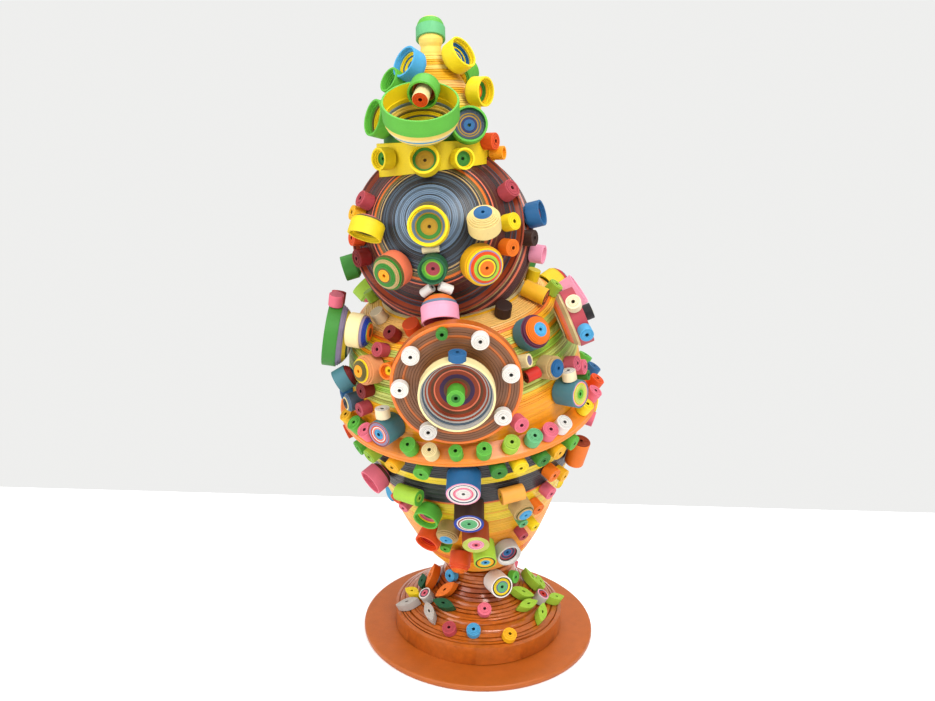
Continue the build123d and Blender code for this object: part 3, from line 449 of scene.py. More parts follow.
# the separate solids of a node, with the place and size of each
def partsOf(node):
    mesh = frame["nodes"][node].data
    points = np.zeros(len(mesh.vertices) * 3, np.float32)
    mesh.vertices.foreach_get("co", points)
    points = points.reshape(-1, 3).astype(float) / mm
    mesh.calc_loop_triangles()
    faces = np.zeros(len(mesh.loop_triangles) * 3, np.int32)
    mesh.loop_triangles.foreach_get("vertices", faces)
    keys, back = np.unique(np.round(points * 1000).astype(np.int64), axis=0, return_inverse=True)
    faces = back.ravel()[faces].reshape(-1, 3)
    points = keys / 1000.0
    label = np.arange(len(points))
    while True:
        lowest = label[faces].min(axis=1)
        merged = label.copy()
        np.minimum.at(merged, faces.ravel(), np.repeat(lowest, 3))
        merged = merged[merged]
        if (merged == label).all():
            break
        label = merged
    return [(points, faces[label[faces[:, 0]] == name]) for name in np.unique(label)]


def axisOf(points, faces):
    # the direction about which the corners fall into the fewest rings, out of those that the faces suggest
    edgeA, edgeB = points[faces[:, 1]] - points[faces[:, 0]], points[faces[:, 2]] - points[faces[:, 0]]
    normal = np.cross(edgeA, edgeB)
    area = np.linalg.norm(normal, axis=1)
    unit = normal / np.maximum(area, 1e-12)[:, None]
    own = points[np.unique(faces)]
    centre = own.mean(0)
    byFaces = np.linalg.eigh((unit * area[:, None]).T @ unit)[1].T
    byCorners = np.linalg.eigh(np.cov((own - centre).T))[1].T
    tries = [byFaces, byCorners]
    same = (np.abs(unit @ unit.T) > 0.9999) @ area
    tries.append(unit[np.argsort(-same)[:1]])
    best = None
    for way in np.vstack(tries):
        along = (own - centre) @ way
        off = np.linalg.norm(own - centre - along[:, None] * way, axis=1)
        rings = len(np.unique(np.round(np.column_stack([along, off]) * 20), axis=0))
        if best is None or rings < best[0]:
            best = (rings, way, along, off)
    return centre, best[1], best[2], best[3]


def outwardFrom(point):
    # the direction away from the axis of the sculpture at this height, or from the centre of the ball
    if ballCentre[2] - 40 < point[2] < ballCentre[2] + 34:
        return point - ballCentre
    stops = np.array([footPlace[0], bowlPlace[0], ledgePlace[0], ballCentre, bandPlace[0], neckPlace[0]])
    inner = [np.interp(point[2], stops[:, 2], stops[:, k]) for k in (0, 1)]
    return point - np.array([inner[0], inner[1], point[2] - 3])


def placesOf(node, kind):
    # the base plane, radius and length of each solid;
    # the axis points out of the mouth, or to the apex, or outward
    found = []
    for points, faces in partsOf(node):
        centre, axis, along, off = axisOf(points, faces)
        radius = off.max()
        if kind == "coil":
            turn = axis @ outwardFrom(centre) < 0
        else:
            low = off[along < along.min() + 0.05].max()
            high = off[along > along.max() - 0.05].max()
            turn = (low > high) if kind == "cup" else (low < high)
        if turn:
            axis, along = -axis, -along
        start = centre + axis * along.min()
        x = np.cross(axis, [0.31, 0.2, 0.93])
        x /= np.linalg.norm(x)
        found.append({
            "place": (start, np.array([x, np.cross(axis, x), axis])), "radius": radius,
            "length": along.max() - along.min(), "centre": centre,
        })
    return found


def nearest(found, point):
    distances = [np.linalg.norm(row["centre"] - point) for row in found]
    return found[int(np.argmin(distances))]


# materials
def newGroup(name, inputs, outputs):
    group = bpy.data.node_groups.new(name, "ShaderNodeTree")
    for label, kind, value in inputs:
        socket = group.interface.new_socket(label, in_out="INPUT", socket_type=kind)
        socket.default_value = value
    for label, kind in outputs:
        group.interface.new_socket(label, in_out="OUTPUT", socket_type=kind)
    return group, group.nodes.new("NodeGroupInput"), group.nodes.new("NodeGroupOutput")


def paperGrainGroup():
    # fibres and small blotches of the strips, as a colour, a roughness and a height
    group, enter, leave = newGroup(
        "paperGrain",
        [("Colour", "NodeSocketColor", (1, 1, 1, 1)), ("Blotch", "NodeSocketFloat", 0.12),
         ("Fibre Scale", "NodeSocketFloat", 1400.0), ("Roughness", "NodeSocketFloat", 0.6),
         ("Roughness Spread", "NodeSocketFloat", 0.12)],
        [("Colour", "NodeSocketColor"), ("Roughness", "NodeSocketFloat"), ("Height", "NodeSocketFloat")],
    )
    nodes, links = group.nodes, group.links
    where = nodes.new("ShaderNodeTexCoord")
    fibre = nodes.new("ShaderNodeTexNoise")
    fibre.inputs["Detail"].default_value = 4
    fibre.inputs["Roughness"].default_value = 0.65
    blotch = nodes.new("ShaderNodeTexNoise")
    blotch.inputs["Scale"].default_value = 210
    blotch.inputs["Detail"].default_value = 3
    links.new(where.outputs["Object"], fibre.inputs["Vector"])
    links.new(where.outputs["Object"], blotch.inputs["Vector"])
    links.new(enter.outputs["Fibre Scale"], fibre.inputs["Scale"])
    both = nodes.new("ShaderNodeMath")
    both.operation = "MULTIPLY_ADD"
    both.inputs[1].default_value = 0.5
    links.new(fibre.outputs["Fac"], both.inputs[0])
    half = nodes.new("ShaderNodeMath")
    half.operation = "MULTIPLY"
    half.inputs[1].default_value = 0.5
    links.new(blotch.outputs["Fac"], half.inputs[0])
    links.new(half.outputs[0], both.inputs[2])
    shade = nodes.new("ShaderNodeMapRange")
    shade.inputs["From Min"].default_value = 0.3
    shade.inputs["From Max"].default_value = 0.7
    shade.inputs["To Max"].default_value = 1.0
    dark = nodes.new("ShaderNodeMath")
    dark.operation = "SUBTRACT"
    dark.inputs[0].default_value = 1.0
    links.new(enter.outputs["Blotch"], dark.inputs[1])
    links.new(both.outputs[0], shade.inputs["Value"])
    links.new(dark.outputs[0], shade.inputs["To Min"])
    tint = nodes.new("ShaderNodeMix")
    tint.data_type = "RGBA"
    tint.blend_type = "MULTIPLY"
    tint.inputs["Factor"].default_value = 1.0
    links.new(enter.outputs["Colour"], tint.inputs["A"])
    links.new(shade.outputs["Result"], tint.inputs["B"])
    rough = nodes.new("ShaderNodeMath")
    rough.operation = "MULTIPLY_ADD"
    links.new(fibre.outputs["Fac"], rough.inputs[0])
    links.new(enter.outputs["Roughness Spread"], rough.inputs[1])
    links.new(enter.outputs["Roughness"], rough.inputs[2])
    links.new(tint.outputs["Result"], leave.inputs["Colour"])
    links.new(rough.outputs[0], leave.inputs["Roughness"])
    links.new(fibre.outputs["Fac"], leave.inputs["Height"])
    return group


grainGroup = paperGrainGroup()


def paperMaterial(name, blotch, fibreScale, roughness, spread, bump, coat=0.0, coatRoughness=0.2, metal=0.0,
                  specular=0.5):
    material = bpy.data.materials.new(name)
    material.use_nodes = True
    nodes, links = material.node_tree.nodes, material.node_tree.links
    shader = nodes["Principled BSDF"]
    paint = nodes.new("ShaderNodeAttribute")
    paint.attribute_name = "paper"
    grain = nodes.new("ShaderNodeGroup")
    grain.node_tree = grainGroup
    grain.inputs["Blotch"].default_value = blotch
    grain.inputs["Fibre Scale"].default_value = fibreScale
    grain.inputs["Roughness"].default_value = roughness
    grain.inputs["Roughness Spread"].default_value = spread
    relief = nodes.new("ShaderNodeBump")
    relief.inputs["Strength"].default_value = bump
    relief.inputs["Distance"].default_value = 0.0002
    links.new(paint.outputs["Color"], grain.inputs["Colour"])
    links.new(grain.outputs["Colour"], shader.inputs["Base Color"])
    links.new(grain.outputs["Roughness"], shader.inputs["Roughness"])
    links.new(grain.outputs["Height"], relief.inputs["Height"])
    links.new(relief.outputs["Normal"], shader.inputs["Normal"])
    shader.inputs["Coat Weight"].default_value = coat
    shader.inputs["Coat Roughness"].default_value = coatRoughness
    shader.inputs["Metallic"].default_value = metal
    shader.inputs["Specular IOR Level"].default_value = specular
    return material


finishes = {
    "plain": paperMaterial("plainPaper", 0.14, 1500, 0.50, 0.12, 0.35, specular=0.4),
    "varnished": paperMaterial("varnishedPaper", 0.16, 900, 0.34, 0.14, 0.30, coat=0.22, coatRoughness=0.22),
    "glossyCopper": paperMaterial("glossyCopper", 0.30, 420, 0.24, 0.16, 0.55,
                                  coat=0.6, coatRoughness=0.12, metal=0.15),
    "satinCopper": paperMaterial("satinCopper", 0.22, 2600, 0.40, 0.14, 0.60,
                                 coat=0.15, coatRoughness=0.3, metal=0.15),
}


def finishPiece(pile, name, nodes, finish, sharp=32):
    # one object per node, with its place in its mesh
    mesh = pile.mesh(name, sharp)
    piece = bpy.data.objects.new(name, mesh)
    bpy.context.scene.collection.objects.link(piece)
    mesh.materials.append(finishes[finish])
    nodes = [nodes] if isinstance(nodes, str) else nodes
    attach(piece, "root")
    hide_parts(*nodes)
    return piece


# large coils: a profile of ridged turns along an outline
def ridged(line, pitch, depth, bandsFromStart, spread=0.25, shade=0.72, calm=None):
    # along the outline, each turn is a ridge of seven tenths of the pitch, then a groove of the given depth,
    # whose colour is painted darker by the shade factor, as shade in the groove; the groove is only a fifth as
    # deep and its painted shade a fifth as strong between the two shares of the outline in calm
    steps = np.diff(line, axis=0)
    lengths = np.hypot(steps[:, 0], steps[:, 1])
    ends = np.concatenate([[0], np.cumsum(lengths)])
    total = ends[-1]
    count = int(round(total / pitch))
    marks = np.linspace(0, total, count + 1)
    marks[1:-1] += dice.uniform(-spread, spread, count - 1) * pitch
    width = np.diff(marks)
    stops = np.stack([marks[:-1], marks[:-1] + width * 0.70, marks[:-1] + width * 0.85], 1).ravel()
    middle = marks[:-1] / total
    ease = np.where((middle > calm[0]) & (middle < calm[1]), 0.2, 1.0) if calm else np.ones(count)
    stops = np.append(stops, total)
    r = np.interp(stops, ends, line[:, 0])
    h = np.interp(stops, ends, line[:, 1])
    which = np.minimum(np.searchsorted(ends, stops, side="right") - 1, len(steps) - 1)
    out = np.column_stack([steps[which, 1], -steps[which, 0]]) / lengths[which][:, None]
    sink = np.zeros(len(stops))
    sink[2::3] = -depth * ease
    lift = np.repeat(dice.uniform(-0.35, 0.0, count) * depth * ease, 3)
    sink[:-1] += lift
    points = np.column_stack([r, h]) + out * sink[:, None]
    papers = bandColours(bandsFromStart, 4 * count)
    papers = papers[(marks[:-1] / total * 4 * count).astype(int).clip(0, 4 * count - 1)]
    # the groove faces are painted darker, as shade between the turns
    dark = papers * (1 - (1 - shade) * ease[:, None])
    tints = np.stack([papers, dark, dark], 1).reshape(-1, 3)
    return points, tints


def streaks(tints, words, share, seed):
    # some turns take another colour, as strips of leftover paper do
    local = np.random.default_rng(seed)
    names = words.split()
    out = tints.copy()
    for k in np.flatnonzero(local.random(len(tints) // 3) < share):
        colour = linearPaper[names[local.integers(len(names))]]
        out[3 * k] = colour
        # the groove of a streaked turn is painted darker too, as shade between the turns
        out[3 * k + 1:3 * k + 3] = colour * 0.72
    return out


# base disc
pile = Pile()
base = {"round": 1.0, "columns": 160}
r, t, b = s["baseR"], s["baseT"], base["round"]
copper = linearPaper["copper"]
edge = [(r - b + b * math.sin(a), b - b * math.cos(a)) for a in np.radians([0, 30, 60, 90])]
edge += [(r - b + b * math.cos(a), t - b + b * math.sin(a)) for a in np.radians([0, 30, 60, 90])]
profile = [(0, 0)] + edge + [(r * k, t) for k in (0.9, 0.78, 0.6, 0.3)] + [(0, t)]
addTurned(pile, profile, np.tile(copper, (len(profile) - 1, 1)), (np.zeros(3), np.eye(3)), base["columns"])
finishPiece(pile, "baseDisc", "base_disc", "satinCopper")

# foot, cut off at the tilt of the bowl
# the shade of this look is how dark ridged paints the grooves, as painted shade
footLook = {
    "pitch": 1.9, "depth": 0.75, "columns": 170, "ripple": 0.3, "spread": 0.4, "shade": 0.9,
    "bands": "copper 3 darkCopper 1 copper 2",
}
pile = Pile()
points, tints = ridged(footLine[1:], footLook["pitch"], footLook["depth"], footLook["bands"],
                       footLook["spread"], footLook["shade"])
points = np.vstack([[(0, 0)], [(s["footR"] - 0.4, 0)], [(s["footR"], 0.4)], points, [(0, points[-1, 1])]])
tints = np.vstack([copper, copper, copper, tints, copper])
addTurned(pile, points, tints, footPlace, footLook["columns"], wobble=0.004, ripple=footLook["ripple"])
flat = pile.points[0]
axisZ = bowlPlace[1][2]
over = (flat - bowlPlace[0]) @ axisZ + 0.02
flat[:, 2] -= np.maximum(over, 0) / axisZ[2]
finishPiece(pile, "foot", "foot", "glossyCopper", 50)

# bowl
# the shade of this look is how dark ridged paints the grooves, as painted shade
bowlLook = {
    "pitch": 1.0, "depth": 0.28, "columns": 150,
    "bands": "amber 20 orange 6 amber 20 gold 8 amber 1 yellow 5 gold 1.5 yellow 7 orange 0.9 "
             "black 12 yellow 3.2 black 12",
    "shade": 0.86,
}
pile = Pile()
points, tints = ridged(bowlLine, bowlLook["pitch"], bowlLook["depth"], bowlLook["bands"],
                       shade=bowlLook["shade"])
inner = [(max(a - s["wall"], 0), max(c, s["wall"])) for a, c in bowlLine[::-1][:-1]]
profile = np.vstack([[(0, 0)], points, inner, [(0, s["wall"])]])
rest = len(profile) - 1 - len(tints)
tints = np.vstack([linearPaper["amber"], tints, np.tile(linearPaper["brown"], (rest - 1, 1))])
addTurned(pile, profile, tints, bowlPlace, bowlLook["columns"], wobble=0.0012)
finishPiece(pile, "bowl", "bowl", "varnished")

# ledge, with a skirt that slopes up to the body
pile = Pile()
a, c, t = s["ledgeInR"], s["ledgeR"], s["ledgeT"]
skirtIn, skirtTop = s["bodyR"] + 0.1, t + 4.2
profile = [(a, t - 0.3), (a, 0.3), (a + 0.3, 0)]
profile += [(a + (c - a) * k / 9, 0.12 * (k % 2)) for k in range(1, 9)]
profile += [(c - 0.6, 0), (c, 0.6), (c, 1.35), (c - 0.2, 1.5), (c, 1.65), (c, t - 0.2), (c - 0.2, t)]
for k in range(1, 8):
    slope = np.array([c, t]) + (np.array([skirtIn, skirtTop]) - [c, t]) * k / 8
    profile += [tuple(slope), tuple(slope + [-0.05, -0.22])]
profile += [(skirtIn, skirtTop), (skirtIn, t), (a + 0.3, t), (a, t - 0.3)]
shades = dice.uniform(0.92, 1.06, (len(profile) - 1, 1))
tints = linearPaper["deepAmber"] * shades
addTurned(pile, profile, tints, ledgePlace, 160)
finishPiece(pile, "ledge", "ledge", "varnished")

# body, cut at its foot so that it stands on the ledge
# the shade of this look is how dark ridged paints the grooves, as painted shade
bodyLook = {
    "pitch": 0.95, "depth": 0.30, "columns": 150, "below": 6.0,
    "bands": "amber 21 gold 1 paleLime 2 olivelime 1 paleLime 2 amber 1 lime 2 olivelime 1 paleLime 2 "
             "olivelime 1 lime 2 gold 1 paleLime 2 olivelime 1 amber 1.5 paleLime 3 gold 2 orange 0.8 "
             "gold 1 apricot 1.5 collar 8 gold 1",
    "calm": (0.0, 0.30), "shade": 0.86, "spread": 0.3,
}
pile = Pile()
line = np.vstack([[(s["bodyR"], -bodyLook["below"])], bodyLine])
points, tints = ridged(line, bodyLook["pitch"], bodyLook["depth"], bodyLook["bands"],
                       bodyLook["spread"], bodyLook["shade"], bodyLook["calm"])
inner = [(a - s["wall"], c - s["wall"] * 0.4) for a, c in bodyLine[1:-1][::-1]]
collarIn = s["collarR"] - s["wall"]
foot = (s["bodyR"] - s["wall"], -bodyLook["below"])
profile = np.vstack([points, [(collarIn, s["shoulderH"])], inner, [foot], points[:1]])
rest = len(profile) - 1 - len(tints)
tints = np.vstack([tints, linearPaper["cream"], np.tile(linearPaper["brown"], (rest - 1, 1))])
addTurned(pile, profile, tints, bodyPlace, bodyLook["columns"], wobble=0.0012)
flat = pile.points[0]
axisZ = bodyCut[1][2]
under = (bodyCut[0] + axisZ * 0.02 - flat) @ axisZ
flat += np.maximum(under, 0)[:, None] * bodyPlace[1][2] / (bodyPlace[1][2] @ axisZ)
finishPiece(pile, "body", "body", "varnished")
print("foot, bowl and body wound")

# head: a front dome with a lip, and a back shell
headLook = {
    "pitch": 0.62, "depth": 0.20, "columns": 150, "streakShare": 0.26,
    "front": "maroon 2.4 rust 1.2 darkBrown 1 maroon 5 brown 1 maroon 1.2 salmon 0.8 tan 0.6 brown 0.8 "
             "orange 1.2 olive 0.8 tan 0.7 charcoal 0.6 olive 1.2 charcoal 2.4 slate 0.6 charcoal 2 "
             "slate 1.5 steel 1.5 slate 1 steel 4 slate 1 olive 7",
    "streaks": "greyWhite slate tan black charcoal black",
    "backPitch": 0.9, "backDepth": 0.2, "backColumns": 120, "backStreakShare": 0.14,
    "back": "rust 2 maroon 8 brown 4 maroon 12 olive 3 charcoal 8 slate 10 olive 5",
    "backStreaks": "rust tan salmon black",
}
seamR = s["headR"] * math.sin(math.radians(s["seamAngle"]))
seamH = s["headR"] * math.cos(math.radians(s["seamAngle"]))


def ballArc(start, end, radius, count):
    a = np.radians(np.linspace(start, end, count + 1))
    return np.column_stack([radius * np.sin(a), radius * np.cos(a)])


pile = Pile()
arc = ballArc(0, s["seamAngle"] - 2, s["headR"], 30)
points, tints = ridged(arc[::-1], headLook["pitch"], headLook["depth"], headLook["front"])
tints = streaks(tints, headLook["streaks"], headLook["streakShare"], 3)
lip = [(seamR - s["headWall"], seamH), (seamR + s["lipOut"] - 0.5, seamH), (seamR + s["lipOut"], seamH + 0.5),
       (seamR + s["lipOut"], seamH + s["lipT"] - 0.6), (seamR + s["lipOut"] - 0.5, seamH + s["lipT"]),
       (seamR + s["lipOut"] - 1.2, seamH + s["lipT"] - 0.2)]
inner = ballArc(0, s["seamAngle"] - 2, s["headR"] - s["headWall"], 6)
profile = np.vstack([lip, points, inner, lip[:1]])
lipPaper = [linearPaper[n] for n in ("maroon", "rust", "rust", "rust", "maroon", "rust")]
tints = np.vstack([lipPaper, tints, np.tile(linearPaper["maroon"], (len(profile) - 1 - len(tints) - 6, 1))])
addTurned(pile, profile, tints, headPlace, headLook["columns"])
finishPiece(pile, "headFront", "head_front", "varnished")

pile = Pile()
back = seamH - s["glue"]
arc = ballArc(s["seamAngle"] + 1, 180, s["headR"], 60)
points, tints = ridged(np.vstack([[(seamR, back)], arc]), headLook["backPitch"], headLook["backDepth"],
                       headLook["back"])
tints = streaks(tints, headLook["backStreaks"], headLook["backStreakShare"], 5)
inner = ballArc(s["seamAngle"] + 6, 180, s["headR"] - s["headWall"], 12)[::-1]
points[-1, 0] = 0
profile = np.vstack([inner, [(seamR - s["headWall"], back)], points])
tints = np.vstack([np.tile(linearPaper["maroon"], (len(inner) + 1, 1)), tints])
profile[0, 0] = 0
addTurned(pile, profile[::-1], tints[::-1], headPlace, headLook["backColumns"])
# the profile runs from the rim to the pole, so its faces are turned round
for k, block in enumerate(pile.quads):
    pile.quads[k] = block[:, ::-1]
for k, block in enumerate(pile.tris):
    pile.tris[k] = block[:, ::-1]
finishPiece(pile, "headBack", "head_back", "varnished")

# crown: band on the ball, plate and cone
pile = Pile()
r, h, low = s["bandR"], s["bandH"], -4.0
top = [(r - 0.3 - k * 0.9, h - 0.18 * (k % 2)) for k in range(0, 18)]
profile = [(r - 1.5, low), (r - 0.1, low), (r, low + 0.2), (r, h - 0.25), (r - 0.25, h)] + top + [(0, h)]
profile += [(0, h - s["wall"]), (r - 1.5, h - s["wall"]), (r - 1.5, low)]
tints = linearPaper["yellow"] * dice.uniform(0.92, 1.03, (len(profile) - 1, 1))
addTurned(pile, profile[:-3], tints[:-3], bandPlace, 110)
# the inner wall of the band and the underside of its top are painted darker, as shade inside the band
addTurned(pile, profile[-3:], tints[-2:] * 0.8, bandPlace, 110)
for block in pile.points:
    away = block - ballCentre
    distance = np.linalg.norm(away, axis=1)
    push = np.maximum(s["headR"] + 0.12 - distance, 0)
    block += (push / np.maximum((away @ bandPlace[1][2]) / distance, 0.5))[:, None] * bandPlace[1][2]
finishPiece(pile, "crownBand", "crown_band", "plain")

pile = Pile()
r, t = s["plateR"], s["plateT"]
rings = [(r - 0.2 - k * 0.55, t - 0.2 * (k % 2)) for k in range(0, 36)]
profile = [(0, 0), (r, 0), (r, t - 0.15)] + rings + [(0, t)]
tints = bandColours("green 3 leaf 2 green 4 lime 1 green 6", len(profile) - 1)
addTurned(pile, profile, tints, platePlace, 96)
finishPiece(pile, "crownPlate", "crown_plate", "plain")

pile = Pile()
# the shade of this look is how dark ridged paints the grooves, as painted shade
coneLook = {
    "pitch": 0.95, "depth": 0.34, "shade": 0.88, "columns": 96,
    "bands": "gold 5 yellow 5 paleYellow 4 gold 3 collar 3 gold 4 paleYellow 2 gold 3 paleYellow 2",
}
points, tints = ridged(coneLine, coneLook["pitch"], coneLook["depth"], coneLook["bands"],
                       shade=coneLook["shade"])
inner = [(a - s["wall"], c) for a, c in coneLine[:-1][::-1]]
profile = np.vstack([points, [(0, s["coneH"]), (0, s["coneH"] - s["wall"])], inner])
tints = np.vstack([tints, linearPaper["paleYellow"], np.tile(linearPaper["gold"], (len(inner) + 1, 1))])
outerCount = len(points) + 1
addTurned(pile, profile[:outerCount], tints[:outerCount - 1], conePlace, coneLook["columns"])
finishPiece(pile, "cone", "cone", "plain")

pile = Pile()
ballUp = s["neckH"] + 2.6
ballAngles = np.radians(np.arange(-33, 90, 6))
ball = [(s["ballR"] * math.cos(a), ballUp + s["ballR"] * math.sin(a)) for a in ballAngles]
profile = [(0, 0), (s["neckR"] + 0.3, 0), (s["neckR"], 0.5)]
profile += [(s["neckR"] - 0.12 * (k % 2), 0.5 + 0.5 * k) for k in range(1, 4)]
profile += ball + [(0, ballUp + s["ballR"])]
addTurned(pile, profile, bandColours("paleYellow 1", len(profile) - 1), neckPlace, 48)
finishPiece(pile, "neck", "neck", "plain")

lean = math.radians(s["capBack"])
x, y, z = neckPlace[1]
capUp = z * math.cos(lean) + y * math.sin(lean)
capPlace = (moved(neckPlace, ballUp)[0], np.array([x, np.cross(capUp, x), capUp]))
pile = Pile()
capIn, capR, strip = s["ballR"] + s["glue"], s["capR"], winding["strip"]
capCurve = [(0.9, 1.3), (0.8, 2.5), (0.7, 3.0), (0.6, 3.3), (0.5, 3.5), (0.3, 3.9), (0, 4.0)]
dome = [(capR - 0.3, strip)] + [(capR * share, strip + up) for share, up in capCurve]
hollow = [(capIn * math.cos(a), capIn * math.sin(a)) for a in np.radians(np.arange(80, -1, -10))]
profile = hollow + [(capIn, 0), (capR - 0.1, 0), (capR, 0.1), (capR, strip - 0.2)] + dome
capPapers = ["mint"] * (len(hollow) + 4) + ["leaf"] * 2 + ["yellow"] * (len(dome) - 3)
tints = np.array([linearPaper[n] for n in capPapers])[: len(profile) - 1]
addTurned(pile, profile, tints, capPlace, 48)
finishPiece(pile, "finialCap", "finial_cap", "plain")
print("head and crown wound")

# medallion with its ring cup, core roll and coils
pile = Pile()
row = placesOf("medallion", "coil")[0]
medalLook = {"bands": "orange 0.8 walnut 3 copper 0.8 walnut 9 rust 0.8 walnut 8", "step": 1.05, "columns": 110}
face, facePaper = woundFace(s["medalR"] - 0.3, 5.0, medalLook["bands"], step=medalLook["step"])
profile = np.vstack([[(0, 0), (s["medalR"] - 0.2, 0), (s["medalR"], 0.3), (s["medalR"], 4.7)], face])
wallPaper = linearPaper["copper"]
tints = np.vstack([wallPaper, wallPaper, wallPaper, linearPaper["orange"], facePaper])
addTurned(pile, profile, tints, row["place"], medalLook["columns"], seam=0.006)
finishPiece(pile, "medallion", "medallion", "varnished")


def seatedPlace(carrier, azimuth, run, tilt, turn, lift):
    # a plane on the carrier whose axis leans by the tilt towards turn: 0 along the meridian, 90 sideways
    point, normal = spotOn(carrier, azimuth, run)
    axes, angle = carriers[carrier][0][1], math.radians(azimuth)
    sideways = axes[0] * math.cos(angle) + axes[1] * math.sin(angle)
    meridian = np.cross(normal, sideways)
    lean, way = math.radians(tilt), math.radians(turn)
    axis = normal * math.cos(lean) + (meridian * math.cos(way) + sideways * math.sin(way)) * math.sin(lean)
    x = np.cross(meridian, axis)
    x /= np.linalg.norm(x)
    return point + normal * lift, np.array([x, np.cross(axis, x), axis])


def pieceRows(name, node, rows, finish="plain"):
    # rows of kind, carrier, azimuth, run and look; each takes the place of the nearest solid of the
    # node, or stands on a seat (tilt, turn, lift, radius, rise) where two solids are joined into one
    pile = Pile()
    solids = {"cup": None, "dome": None, "coil": None}
    left = partsOf(node)
    for row in rows:
        kind, carrier, azimuth, run, look = row[:5]
        extra = row[5] if len(row) > 5 else None
        if isinstance(extra, dict) and "seat" in extra:
            tilt, turn, lift, radius, rise = extra["seat"]
            place = seatedPlace(carrier, azimuth, run, tilt, turn, lift)
            found = {"place": place, "radius": radius, "length": rise + winding["strip"]}
            addByKind(pile, kind, found, look, extra)
            continue
        if solids[kind] is None:
            solids[kind] = placesOf(node, kind)
        point, normal = spotOn(carrier, azimuth, run)
        found = nearest(solids[kind], point + normal * 4)
        addByKind(pile, kind, found, look, extra)
    finishPiece(pile, name, node, finish)
    if len(rows) != len(left):
        print("  rows and solids differ on", node, len(rows), len(left))


def addByKind(pile, kind, found, look, extra=None):
    place, radius, length = found["place"], found["radius"], found["length"]
    if kind == "cup":
        extra = extra or {}
        addCup(pile, place, radius, length - winding["strip"], extra.get("share", 0.3), look,
               extra.get("inside"), extra.get("floor"))
    elif kind == "dome":
        addDome(pile, place, radius, length - winding["strip"], look)
    else:
        side, face = look.split("|")
        addCoil(pile, place, radius, length, side.strip(), face, bothEnds=bool(extra))


def single(name, node, kind, look, extra=None, finish="plain"):
    pile = Pile()
    addByKind(pile, kind, placesOf(node, kind)[0], look, extra)
    finishPiece(pile, name, node, finish)


single("ringCup", "ring_cup", "cup", "cream 0.6 paleLime 1 lime 0.6 cream 1 olivelime 1 paleLime 1",
       {"share": 0.45,
        "inside": "cream 0.6 greyWhite 1 slate 1 greyWhite 0.6 rust 1 greyWhite 1 rust 1.4 brown 1.2 "
                  "salmon 0.5 rust 1.6 purple 2 brown 1 rust 1.6 darkBrown 2"})
single("coreRoll", "core_roll", "coil", "leaf|leaf 2 green 1")
pile = Pile()
for row in placesOf("medal_coils", "coil"):
    name = "green" if row["radius"] < 3 else "white"
    addCoil(pile, row["place"], row["radius"], row["length"], name, f"{name} 1")
finishPiece(pile, "medalCoils", "medal_coils", "plain")
single("ringCoil", "ring_coil", "coil", "blue|blue 1", True)

# head pieces
single("headCentreCup", "head_centre_cup", "cup", "yellow 1 steel 1.2 ochre 0.8 green 1.2 ochre 2")
single("headSmallCup", "head_small_cup", "cup", "darkGreen 1.2 leaf 0.7 lime 0.5 crimson 2")
single("headBell", "head_bell", "cup", "lightPink 1 steel 1 orange 2.4 black 0.5 yellow 1.8",
       {"inside": "pink 1 purple 2 navy 2"})
pieceRows("headSideDomes", "head_side_domes", [
    ("dome", "head", -33, nose(23.2), "salmon 1 olive 0.5 green 0.5 tan 0.8 green 0.7 olive 0.3 amber 1"),
    ("dome", "head", 53, nose(26.1),
     "gold 1.2 yellow 0.4 lilac 0.4 redOrange 0.8 lime 0.6 olive 0.3 yellow 0.3 orange 1"),
])
pieceRows("headBells", "head_bells", [
    ("dome", "head", 82, nose(20.3), "paleCream 3.6 blue 1.5"),
    ("cup", "head", -88, nose(20.1), "yellow 1.6 olive 1 pink 1.4 lilac 1.4",
     {"inside": "yellow 1 olive 2 green 2"}),
])
pieceRows("headCups", "head_cups", [
    ("cup", "head", 103, nose(46), "blue 1 skyBlue 1 ivory 1", {"inside": "blue 1 rust 3 redOrange 1"}),
    ("cup", "head", 82, nose(53), "lightPink 1 white 1 green 1"),
    ("cup", "head", -68, nose(51.5), "green 1.4 darkGreen 1 yellow 1", {"inside": "green 1 yellow 3 green 1"}),
    ("cup", "head", 128, nose(86), "blue 1 white 1 orange 2 yellow 1"),
    ("cup", "head", -128, nose(86), "pink 1 white 1 green 2 red 1"),
    ("cup", "head", 176, nose(96), "leaf 1 yellow 1 redOrange 1 blue 1"),
])

